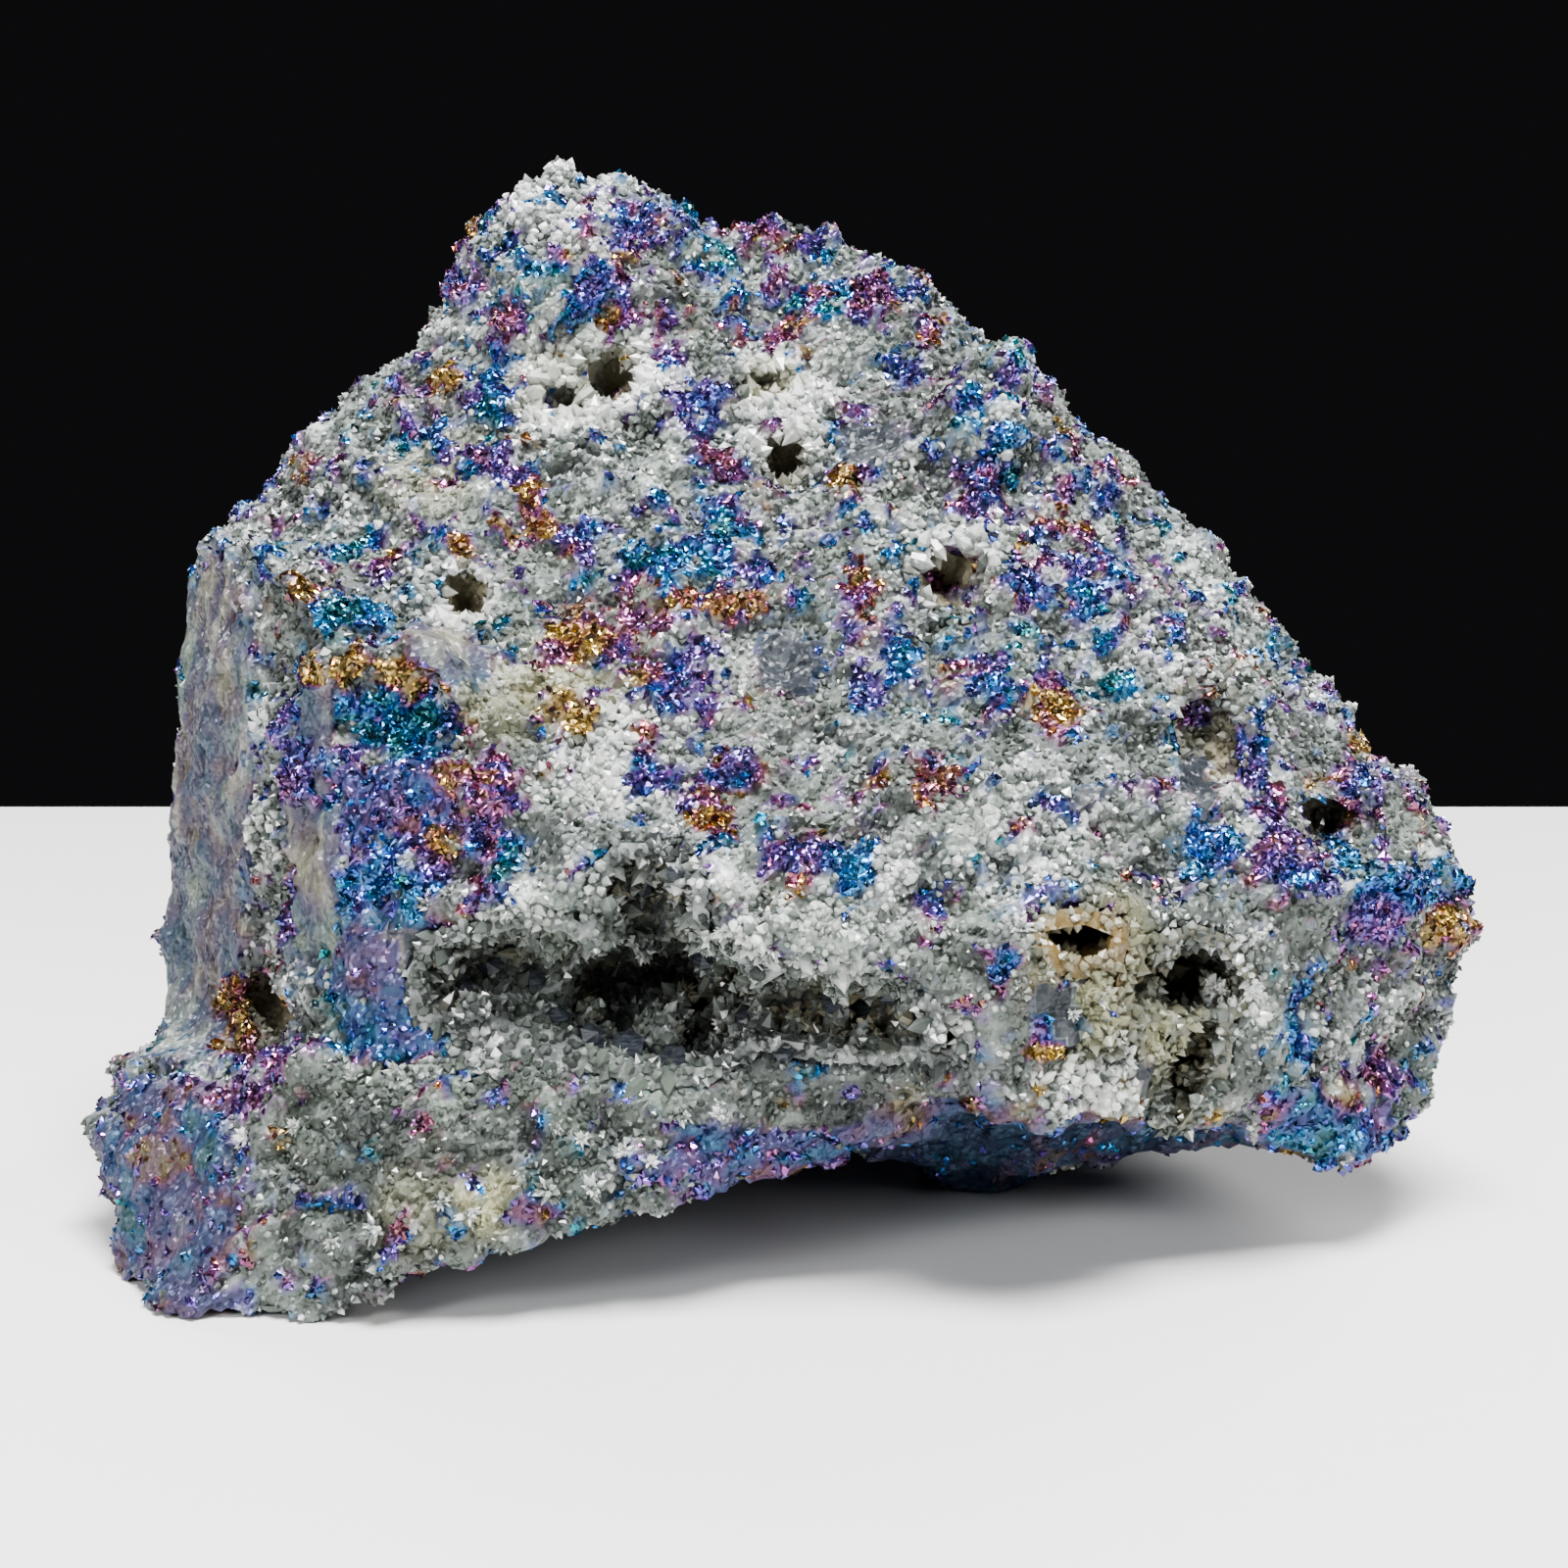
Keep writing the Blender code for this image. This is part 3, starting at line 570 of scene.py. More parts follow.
def dents(points, size):
    """0 in the middle of angular cells of the given size and about 1 on the edges between them."""
    near = [noise.voronoi(Vector(p) / size)[0] for p in points]
    return 1 - np.clip([DENT_STEEPNESS * (d[1] - d[0]) for d in near], 0, 1)


def smooth_step(low, high, values):
    """0 below low, 1 above high, and a smooth ramp in between."""
    t = np.clip((values - low) / (high - low), 0, 1)
    return t * t * (3 - 2 * t)


def unit(vectors):
    return vectors / np.linalg.norm(vectors, axis=1)[:, None]


def ball_directions(count):
    """Directions spread evenly over a ball."""
    steps = np.arange(count) + 0.5
    height = 1 - 2 * steps / count
    turn = steps * math.pi * (3 - math.sqrt(5))
    radius = np.sqrt(1 - height**2)
    return np.stack([radius * np.cos(turn), radius * np.sin(turn), height], axis=1)


def vertex_places(mesh):
    places = np.empty(len(mesh.vertices) * 3)
    mesh.vertices.foreach_get("co", places)
    return places.reshape(-1, 3)


def vertex_normals(mesh):
    normals = np.empty(len(mesh.vertices) * 3, np.float32)
    mesh.vertex_normals.foreach_get("vector", normals)
    return normals.reshape(-1, 3).astype(float)


def mesh_tree(mesh):
    places = [v.co for v in mesh.vertices]
    return BVHTree.FromPolygons(places, [tuple(p.vertices) for p in mesh.polygons])


def store(mesh, name, values):
    """Keeps one number for each vertex, for the materials to read."""
    layer = mesh.attributes.new(name, "FLOAT", "POINT")
    layer.data.foreach_set("value", np.asarray(values, np.float32))


def linked(name, mesh):
    piece = bpy.data.objects.new(name, mesh)
    bpy.context.scene.collection.objects.link(piece)
    return piece


def merged_copy(node):
    """A copy of a CAD node's mesh with its loose triangles merged."""
    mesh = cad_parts[node].data.copy()
    shape = bmesh.new()
    shape.from_mesh(mesh)
    bmesh.ops.remove_doubles(shape, verts=shape.verts, dist=WELD)
    shape.to_mesh(mesh)
    shape.free()
    return mesh


def even_grain(mesh, voxel):
    """The same solid with small even faces, all of about the voxel's size."""
    holder = linked("grain_holder", mesh)
    remesh = holder.modifiers.new("even_grain", "REMESH")
    remesh.mode = "VOXEL"
    remesh.voxel_size = voxel
    graph = bpy.context.evaluated_depsgraph_get()
    fine = bpy.data.meshes.new_from_object(holder.evaluated_get(graph))
    bpy.data.objects.remove(holder)
    return fine


def soften(mesh, rounds):
    shape = bmesh.new()
    shape.from_mesh(mesh)
    for _ in range(rounds):
        bmesh.ops.smooth_vert(
            shape, verts=shape.verts, factor=0.5, use_axis_x=True, use_axis_y=True, use_axis_z=True
        )
    shape.to_mesh(mesh)
    shape.free()


def hollowness(points, normals, tree):
    """0 in the open and 1 deep in a pit: the share of lines from a point that soon meet rock."""
    directions = ball_directions(HOLLOW_LINES)
    outward = normals @ directions.T > HOLLOW_OUTWARD
    starts = points + normals * LINE_START
    share = np.zeros(len(points))
    for index, start in enumerate(starts):
        lines = directions[outward[index]]
        met = [tree.ray_cast(Vector(start), Vector(line), HOLLOW_REACH)[0] for line in lines]
        share[index] = sum(place is not None for place in met) / max(len(lines), 1)
    return share


def oval_distance(across, down, box):
    """0 at the middle of a pixel box and 1 along its rounded edge."""
    left, top, right, bottom = box
    x = np.abs(across - (left + right) / 2) / ((right - left) / 2)
    y = np.abs(down - (top + bottom) / 2) / ((bottom - top) / 2)
    return (x**OVAL_POWER + y**OVAL_POWER) ** (1 / OVAL_POWER)


class OreMap:
    """Where the rock shows ore, how thick its tarnish film is and where it is dull."""

    def __init__(self, points, normals, trees):
        self.trees = trees
        self.across, self.down, self.depth = pixels_of(points)
        toward = unit(np.array(CAMERA_PLACE) - points)
        self.facing = np.einsum("ij,ij->i", normals, toward)
        self.ragged = waves(points, EDGE_WAVES) - EDGE_SHIFT
        self.blend = np.clip(waves(points, BLEND_WAVES, FILM_MIDDLE), 0, 1)
        self.level = self.speck_level(points)
        self.film = self.speck_film(points)
        self.dull = np.zeros(len(points))
        self.add_dull()
        self.add_patches()
        self.add_muted()
        self.film = np.clip(self.film + waves(points, FILM_WAVES), 0, 1)
        sharp = smooth_step(*DULL_EDGE, self.level)
        self.mask = np.where(self.dull > 0, sharp, smooth_step(*ORE_EDGE, self.level))

    def nearness(self, box, reach=PATCH_REACH, ragged=1.0):
        """Above 0 on the patch, where it faces the camera and is at the patch's own depth."""
        left, top, right, bottom = box
        spot, _ = seen_spot(self.trees, (left + right) / 2, (top + bottom) / 2)
        if spot is None:
            return np.full(len(self.depth), -1.0)
        spot_depth = (spot - CAMERA_PLACE).dot(AHEAD)
        value = 1.0 - oval_distance(self.across, self.down, box) + ragged * self.ragged
        at_depth = (np.abs(self.depth - spot_depth) < reach) & (self.facing > PATCH_FACING)
        return np.where(at_depth, value, -1.0)

    def add_patches(self):
        for *box, thin, thick in ORE_PATCHES.values():
            value = self.nearness(box)
            better = value > np.maximum(self.level, 0)
            film = thin + (thick - thin) * self.blend
            self.film = np.where(better, film, self.film)
            self.dull = np.where(better, 0.0, self.dull)
            self.level = np.maximum(self.level, value)

    def add_dull(self):
        for *box, reach, dullness in DULL_PATCHES.values():
            value = self.nearness(box, reach, DULL_RAGGED)
            self.dull = np.where(value > 0, dullness, self.dull)
            self.level = np.maximum(value, self.level)

    def add_muted(self):
        for *box, reach, dullness in MUTED_PATCHES.values():
            value = self.nearness(box, reach, DULL_RAGGED)
            self.dull = np.where(value > 0, np.maximum(self.dull, dullness), self.dull)
            self.level = np.maximum(self.level, np.minimum(value, MUTED_LEVEL))

    def speck_level(self, points):
        """Small specks of ore between the quartz, denser in some zones than in others."""
        in_front = self.facing > FRONT_FACING
        share = np.where(in_front, LOOSE_SPECKS, waves(points, HIDDEN_WAVES, HIDDEN_SPECKS))
        for *box, zone_share in SPECK_ZONES.values():
            edge = 1.0 - oval_distance(self.across, self.down, box)
            inside = smooth_step(0.0, SPECK_ZONE_EDGE, edge) * in_front
            share = share + (zone_share - share) * inside
        return waves(points, SPECK_WAVES) - SPECK_THRESHOLD + share

    def speck_film(self, points):
        return np.clip(waves(points, SPECK_FILM_WAVES, FILM_MIDDLE), 0, 1)


def zone_strength(points, trees, zones):
    """How strongly each point lies in the named round zones, by its distance in space."""
    strength = np.zeros(len(points))
    for across, down, radius, most in zones.values():
        spot, _ = seen_spot(trees, across, down)
        if spot is None:
            continue
        reach = pixel_reach(spot, radius)
        distance = np.linalg.norm(points - np.array(spot), axis=1)
        fade = smooth_step(ZONE_FULL * reach, ZONE_END * reach, distance)
        strength = np.maximum(strength, most * (1 - fade))
    return strength


def pit_rims(points, trees):
    """1 along the rim of each small pit and 0 away from it."""
    rim = np.zeros(len(points))
    for across, down, radius in PITS.values():
        edge, _ = seen_spot(trees, across - radius, down)
        reach = pixel_reach(edge, radius)
        x, y, depth = pixels_of(points)
        ring = np.hypot(x - across, y - down) / radius
        level = np.abs(depth - (edge - CAMERA_PLACE).dot(AHEAD)) < RIM_DEPTH * reach
        rim = np.maximum(rim, np.exp(-(((ring - RIM_PLACE) / RIM_WIDTH) ** 2)) * level)
    return rim


def quartz_maps(points, normals, tree, trees):
    """How white, how stained and how coarse the quartz is at each point, with painted light and shade in
    its tone, and how deep in a pit.
    """
    # The tone takes painted light from some white zones, and painted shade from the dark zones, the
    # creases between dents and the depth of pits.
    white = zone_strength(points, trees, WHITE_QUARTZ_AND_PAINTED_LIGHT)
    dark = zone_strength(points, trees, PAINTED_SHADE_ZONES)
    hollow = hollowness(points, normals, tree)
    rim = pit_rims(points, trees)
    groove_shade = GROOVE_PAINTED_SHADE * sum(dents(points, size) for size, _ in DENTS)
    tone = QUARTZ_TONE + WHITE_LIGHT * white + RIM_LIGHT * rim - DARK_SHADE * dark
    tone = tone - HOLLOW_SHADE * hollow + waves(points, PATCHY_WAVES) - groove_shade
    across, down, _ = pixels_of(points)
    brown = 1 - smooth_step(*HOLE_EDGE, oval_distance(across, down, HOLE_BOX))
    return {
        "tone": np.clip(tone, DARKEST_TONE, 1),
        "stain": zone_strength(points, trees, YELLOW_STAIN),
        "coarse": np.clip(white + waves(points, COARSE_WAVES), 0, 1) + rim,
        "hollow": np.maximum(hollow, brown),
    }


def knob_height(points, trees):
    """How far the small lumps of quartz push each point out."""
    height = np.zeros(len(points))
    for across, down, radius in QUARTZ_KNOBS:
        spot, _ = seen_spot(trees, across, down)
        reach = pixel_reach(spot, radius)
        distance = np.linalg.norm(points - np.array(spot), axis=1) / reach
        dome = np.sqrt(np.clip(1 - distance**2, 0, 1))
        height = np.maximum(height, KNOB_HEIGHT * reach * dome)
    return height


def ribs(points):
    """The height of upright ribs, as on a face where the rock once slid."""
    return waves(points * np.array([1, 1, 1 / RIB_STRETCH]), RIB_WAVES)


def crust_lap(points, crust_trees):
    """1 beside a crust, where the rock laps over its rim, and 0 well away from it."""
    away = [[tree.find_nearest(Vector(p), LAP_REACH)[3] for tree in crust_trees] for p in points]
    nearest = [min([LAP_REACH, *(d for d in pair if d is not None)]) for pair in away]
    return 1 - smooth_step(LAP_FULL * LAP_REACH, LAP_REACH, np.array(nearest))


def rough_rock(random, crust_trees):
    """The whole lump's surface: knobs, dents and grain, with the ore and quartz maps stored on it."""
    mesh = even_grain(merged_copy("ore_rock"), ROCK_VOXEL)
    soften(mesh, ROCK_SMOOTHING)
    points = vertex_places(mesh)
    normals = vertex_normals(mesh)
    tree = mesh_tree(mesh)
    trees = [tree, *crust_trees]
    ore = OreMap(points, normals, trees)
    bright_ore = ore.mask * (1 - ore.dull)
    height = knob_height(points, trees) * (1 - KNOB_CALM * ore.mask) + ORE_RAISE * bright_ore
    for layer in RELIEF:
        height += waves(points, [layer]) * (1 - RELIEF_CALM * ore.dull)
    for size, depth in DENTS:
        height -= depth * dents(points, size) * (1 - DENT_CALM * ore.dull)
    height += ribs(points) * ore.dull
    lap = crust_lap(points, crust_trees)
    height = height * (1 - lap) + LAP_HEIGHT * lap
    moved = points + normals * height[:, None]
    jitter = random.uniform(-GRAIN_JITTER, GRAIN_JITTER, points.shape)
    moved += jitter * (1 - GRAIN_CALM * ore.dull)[:, None]
    moved[:, 2] = np.maximum(moved[:, 2], CAD_LOW[2] + FLOOR_CLEARANCE)
    mesh.vertices.foreach_set("co", moved.ravel())
    mesh.update()
    mesh.shade_flat()
    maps = {"ore": ore.mask, "film": ore.film, "dull": ore.dull}
    for name, values in (maps | quartz_maps(points, normals, tree, trees)).items():
        store(mesh, name, values)
    piece = linked("rough_rock", mesh)
    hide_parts("ore_rock")
    return piece, tree


def values_of(mesh, name):
    values = np.empty(len(mesh.vertices), np.float32)
    mesh.attributes[name].data.foreach_get("value", values)
    return values.astype(float)


def spread_out(places, gap):
    """Indices of places that are at least a gap apart."""
    tree = KDTree(len(places))
    for index, place in enumerate(places):
        tree.insert(place, index)
    tree.balance()
    kept = []
    dropped = np.zeros(len(places), bool)
    for index, place in enumerate(places):
        if dropped[index]:
            continue
        kept.append(index)
        for _, neighbour, _ in tree.find_range(place, gap):
            dropped[neighbour] = True
    return np.array(kept, int)


class Spots:
    """Places on a surface, each with its direction and the numbers stored there."""

    def __init__(self, places, normals, numbers):
        self.places = places
        self.normals = normals
        self.numbers = numbers

    def __len__(self):
        return len(self.places)

    def __getitem__(self, name):
        return self.numbers[name]

    def only(self, chosen):
        numbers = {name: values[chosen] for name, values in self.numbers.items()}
        return Spots(self.places[chosen], self.normals[chosen], numbers)

    def outside(self, boxes):
        """Only the spots that show outside some ovals in the photograph."""
        across, down, _ = pixels_of(self.places)
        nearest = np.min([oval_distance(across, down, box) for box in boxes], axis=0)
        return self.only(nearest + waves(self.places, OPEN_EDGE_WAVES) > 1)

    def clear_of(self, tree, distance):
        """Only the spots with nothing of another surface close in front of them."""
        starts = self.places + self.normals * LINE_START
        pairs = zip(starts, self.normals)
        met = [tree.ray_cast(Vector(p), Vector(n), distance)[0] is not None for p, n in pairs]
        return self.only(~np.array(met, bool))


class Surface:
    """Triangles of a mesh, with the numbers stored on it, to strew small shapes over."""

    def __init__(self, mesh):
        mesh.calc_loop_triangles()
        corners = np.empty(len(mesh.loop_triangles) * 3, np.int32)
        mesh.loop_triangles.foreach_get("vertices", corners)
        self.corners = corners.reshape(-1, 3)
        self.places = vertex_places(mesh)
        self.normals = vertex_normals(mesh)
        a, b, c = (self.places[self.corners[:, i]] for i in range(3))
        self.areas = np.linalg.norm(np.cross(b - a, c - a), axis=1) / 2
        self.values = {name: values_of(mesh, name) for name in NUMBERS}

    def strew(self, random, gap):
        """Random spots about a gap apart."""
        count = int(TRIES * self.areas.sum() / gap**2)
        chosen = random.choice(len(self.areas), count, p=self.areas / self.areas.sum())
        weights = random.dirichlet((1, 1, 1), count)
        corners = self.corners[chosen]
        places = np.einsum("ij,ijk->ik", weights, self.places[corners])
        cells = np.floor(places / gap).astype(np.int64)
        _, first = np.unique(cells, axis=0, return_index=True)
        first.sort()
        kept = first[spread_out(places[first], CLOSEST * gap)]
        corners, weights = corners[kept], weights[kept]
        normals = unit(np.einsum("ij,ijk->ik", weights, self.normals[corners]))
        numbers = {
            name: np.einsum("ij,ij->i", weights, values[corners])
            for name, values in self.values.items()
        }
        return Spots(places[kept], normals, numbers)


def template(shape):
    """Corner places and triangles of a small shape that will be repeated."""
    bmesh.ops.triangulate(shape, faces=shape.faces)
    bmesh.ops.recalc_face_normals(shape, faces=shape.faces)
    shape.verts.index_update()
    places = np.array([v.co[:] for v in shape.verts])
    triangles = np.array([[v.index for v in face.verts] for face in shape.faces])
    shape.free()
    return places, triangles


def pointed(shape, height):
    """Raises the cap that faces up to a point."""
    cap = max(shape.faces, key=lambda face: face.calc_center_median().z)
    tip = bmesh.ops.poke(shape, faces=[cap])["verts"][0]
    tip.co.z = height


def tapered_point(sides, foot, shoulder, height):
    """A closed point of unit width and length: foot radius, and its shoulder's radius and height."""
    shape = bmesh.new()
    bmesh.ops.create_cone(
        shape, cap_ends=True, segments=sides, radius1=foot, radius2=shoulder, depth=height
    )
    bmesh.ops.translate(shape, verts=shape.verts, vec=(0, 0, height / 2))
    bmesh.ops.remove_doubles(shape, verts=shape.verts, dist=0.001)
    pointed(shape, 1.0)
    return template(shape)


# Sides, foot radius, shoulder radius and shoulder height.
SHAFT = tapered_point(6, 0.42, 0.5, 0.55)
SPEAR = tapered_point(6, 0.0, 0.5, 0.42)
FLAKE = tapered_point(4, 0.0, 0.5, 0.5)


def turned_frames(random, axes, widths, depths, lengths):
    """A scaled frame for each axis: its third direction is the axis, with a random turn about it."""
    side = random.normal(size=axes.shape)
    side = unit(side - axes * np.einsum("ij,ij->i", side, axes)[:, None])
    frames = np.stack([side, np.cross(axes, side), axes], axis=2)
    return frames * np.stack([widths, depths, lengths], axis=1)[:, None, :]


def repeated(name, shape, places, frames, numbers):
    """One mesh object with the shape at every place, in that place's frame."""
    corners, triangles = shape
    points = np.einsum("nij,vj->nvi", frames, corners) + places[:, None, :]
    above = points[:, :, 2].min(axis=1) > CAD_LOW[2]
    points = points[above]
    count, size = len(points), len(corners)
    faces = triangles[None, :, :] + (np.arange(count) * size)[:, None, None]
    mesh = bpy.data.meshes.new(name)
    mesh.vertices.add(count * size)
    mesh.vertices.foreach_set("co", points.ravel())
    mesh.loops.add(faces.size)
    mesh.loops.foreach_set("vertex_index", faces.ravel().astype(np.int32))
    mesh.polygons.add(faces.size // 3)
    mesh.polygons.foreach_set("loop_start", np.arange(0, faces.size, 3, dtype=np.int32))
    mesh.update(calc_edges=True)
    mesh.shade_flat()
    for layer, values in numbers.items():
        store(mesh, layer, np.repeat(values[above], size))
    store(mesh, "tip", np.tile(corners[:, 2], count))
    return linked(name, mesh)


def grown(random, spots, widths, length_range, lean=POINT_LEAN, sink=POINT_SINK):
    """Places and frames of quartz points that stand on the spots and lean at random."""
    count = len(spots)
    lengths = widths * random.uniform(*length_range, count)
    axes = unit(spots.normals + lean * unit(random.normal(size=(count, 3))))
    depths = widths * random.uniform(*POINT_DEPTH, count)
    frames = turned_frames(random, axes, widths, depths, lengths)
    places = spots.places - axes * (sink * lengths * random.uniform(*SINK_SPREAD, count))[:, None]
    return places, frames


def quartz_numbers(random, spots, shift=0.0):
    """Each point's own tone, around that of its spot, and the stain."""
    tone = spots["tone"] + shift + random.normal(0, TONE_SPREAD, len(spots))
    tone = np.clip(tone, DARKEST_TONE, 1)
    return {"tone": tone, "stain": spots["stain"], "hollow": spots["hollow"]}


def sector_pieces(name, count, shape, places, frames, numbers):
    """Several pieces with equal shares of the places, by their direction from the lump's middle."""
    angle = np.arctan2(places[:, 0], -places[:, 1])
    for number, part in enumerate(np.array_split(np.argsort(angle), count)):
        shares = {layer: values[part] for layer, values in numbers.items()}
        yield repeated(f"{name}_{number + 1}", shape, places[part], frames[part], shares)


def fine_druse(random, surface, crust_trees):
    """The fine quartz points between the ore."""
    spots = surface.strew(random, FINE_GAP)
    bare = spots["ore"] < random.uniform(*FINE_ORE, len(spots))
    deep = spots["hollow"] > random.uniform(*FINE_HOLLOW, len(spots))
    dense = random.uniform(0, 1, len(spots)) < FINE_SHARE + spots["coarse"]
    spots = spots.only(bare & dense & ~deep).outside(OPEN_BOXES)
    for tree in crust_trees:
        spots = spots.clear_of(tree, FINE_CLEAR)
    plain, growth = FINE_GROWTH
    widths = random.uniform(*FINE_WIDTH, len(spots)) * (plain + growth * spots["coarse"])
    places, frames = grown(random, spots, widths, FINE_LENGTH, lean=FINE_LEAN)
    numbers = quartz_numbers(random, spots)
    return sector_pieces("fine_druse", DRUSE_PIECES, SPEAR, places, frames, numbers)


def coarse_points(random, surface, crust_trees):
    """Larger quartz points round the pits and on the whitest quartz."""
    spots = surface.strew(random, COARSE_GAP)
    coarse = spots["coarse"] > random.uniform(*COARSE_START, len(spots))
    rim = spots["hollow"] > random.uniform(*COARSE_PIT_EDGE, len(spots))
    bare = (spots["ore"] < COARSE_ORE) & (spots["hollow"] < COARSE_DEEPEST)
    spots = spots.only((coarse | rim) & bare).outside(OPEN_BOXES)
    for tree in crust_trees:
        spots = spots.clear_of(tree, COARSE_CLEAR)
    widths = random.uniform(*COARSE_WIDTH, len(spots)) * np.clip(spots["coarse"], *COARSE_GROWTH)
    places, frames = grown(random, spots, widths, COARSE_LENGTH)
    numbers = quartz_numbers(random, spots, COARSE_LIGHT)
    return sector_pieces("quartz_points", COARSE_PIECES, SHAFT, places, frames, numbers)


def crust_points(random, name, surface, rock_tree):
    """Points all over a crust, fine ones and some larger ones."""
    fine = surface.strew(random, CRUST_GAP).clear_of(rock_tree, CRUST_CLEAR).outside(OPEN_BOXES)
    places, frames = grown(random, fine, random.uniform(*CRUST_WIDTH, len(fine)), FINE_LENGTH)
    numbers = quartz_numbers(random, fine)
    yield repeated(f"{name}_druse", SPEAR, places, frames, numbers)
    large = surface.strew(random, CRUST_LARGE_GAP).clear_of(rock_tree, CRUST_CLEAR)
    large = large.outside([HOLE_BOX])
    widths = random.uniform(*CRUST_LARGE_WIDTH, len(large))
    places, frames = grown(random, large, widths, COARSE_LENGTH)
    numbers = quartz_numbers(random, large, CRUST_LARGE_SHADE)
    yield repeated(f"{name}_large_points", SHAFT, places, frames, numbers)


def joined(groups):
    """The spots of several groups as one."""
    places = np.concatenate([group.places for group in groups])
    normals = np.concatenate([group.normals for group in groups])
    numbers = {name: np.concatenate([group[name] for group in groups]) for name in NUMBERS}
    return Spots(places, normals, numbers)


def marked(trees, marks, tone=0.0):
    """The spots that show at some pixels of the photograph, clean and of one tone."""
    found = [seen_spot(trees, across, down) for across, down in marks]
    places, normals = (np.array(part) for part in zip(*found))
    numbers = {name: np.zeros(len(marks)) for name in NUMBERS}
    numbers["tone"] += tone
    return Spots(places, normals, numbers)


def rosettes(random, surface, crust_surfaces, crust_trees, trees):
    """Sprays of points from one root, on the crusts and along the rims of the hollows."""
    rim = surface.strew(random, ROSETTE_GAP)
    close = [
        min(tree.find_nearest(Vector(place))[3] for tree in crust_trees) < ROSETTE_RIM
        for place in rim.places
    ]
    least, most = ROSETTE_PIT_EDGE
    pit_rim = (rim["hollow"] > least) & (rim["hollow"] < most) & (rim["coarse"] > ROSETTE_COARSE)
    rim = rim.only((np.array(close) | pit_rim) & (rim["ore"] < ROSETTE_ORE))
    roots = joined([rim] + [crust.strew(random, ROSETTE_GAP) for crust in crust_surfaces])
    roots = roots.only(random.uniform(0, 1, len(roots)) < ROSETTE_SHARE)
    roots = roots.outside([HOLE_BOX, *OPEN_BOXES])
    roots = joined([roots, marked(trees, WHITE_CLUSTERS, CLUSTER_TONE)])
    each = np.repeat(np.arange(len(roots)), ROSETTE_POINTS)
    sprays = roots.only(each)
    count = len(sprays)
    radius = np.repeat(random.uniform(*ROSETTE_RADIUS, len(roots)), ROSETTE_POINTS)
    axes = unit(sprays.normals + ROSETTE_LEAN * unit(random.normal(size=(count, 3))))
    lengths = radius * random.uniform(*ROSETTE_LENGTH, count)
    widths = radius * random.uniform(*ROSETTE_WIDTH, count)
    frames = turned_frames(random, axes, widths, widths, lengths)
    starts = sprays.places - sprays.normals * (ROSETTE_SINK * radius)[:, None]
    light = np.repeat(random.uniform(*ROSETTE_LIGHT, len(roots)), ROSETTE_POINTS)
    return repeated("quartz_rosettes", SHAFT, starts, frames, quartz_numbers(random, sprays, light))


def smoky_crystals(random, trees):
    """The large six-sided crystals that stand in the cavern."""
    spots = marked(trees, [(across, down) for across, down, _ in SMOKY_CRYSTALS])
    spots.normals = unit(spots.normals - SMOKY_TURN * np.array(AHEAD))
    widths = np.array([width for _, _, width in SMOKY_CRYSTALS])
    places, frames = grown(random, spots, widths, SMOKY_LENGTH, SMOKY_LEAN, SMOKY_SINK)
    return repeated("smoky_crystals", SHAFT, places, frames, {})


def ore_chips(random, surface):
    """Angular flakes of ore that lie over each other wherever the ore shows."""
    spots = surface.strew(random, CHIP_GAP)
    bright = spots["ore"] * (1 - spots["dull"])
    spots = spots.only(bright > random.uniform(*CHIP_START, len(spots)))
    count = len(spots)
    axes = unit(spots.normals + CHIP_LEAN * unit(random.normal(size=(count, 3))))
    widths = random.uniform(*CHIP_WIDTH, count)
    depths = widths * random.uniform(*CHIP_DEPTH, count)
    frames = turned_frames(random, axes, widths, depths, widths * CHIP_FLATNESS)
    places = spots.places - axes * (CHIP_SINK * CHIP_FLATNESS * widths)[:, None]
    film = np.clip(spots["film"] + random.normal(0, CHIP_FILM_SPREAD, count), 0, 1)
    # Each flake's shade: partly bare ore, partly painted dark reflection.
    shade = DARKEST_CHIP + (1 - DARKEST_CHIP) * random.uniform(0, 1, count)
    numbers = {"film": film, "shade": shade}
    return sector_pieces("ore_chips", CHIP_PIECES, FLAKE, places, frames, numbers)


class Wire:
    """A socket of a material's nodes. Arithmetic on it adds Math nodes."""

    def __init__(self, finish, socket):
        self.finish = finish
        self.socket = socket

    def math(self, operation, *values):
        return self.finish.node("ShaderNodeMath", {"operation": operation}, dict(enumerate(values)))

    def __add__(self, other):
        return self.math("ADD", self, other)

    def __sub__(self, other):
        return self.math("SUBTRACT", self, other)

    def __rsub__(self, other):
        return self.math("SUBTRACT", other, self)

    def __mul__(self, other):
        return self.math("MULTIPLY", self, other)

    def __pow__(self, other):
        return self.math("POWER", self, other)

    __radd__ = __add__
    __rmul__ = __mul__


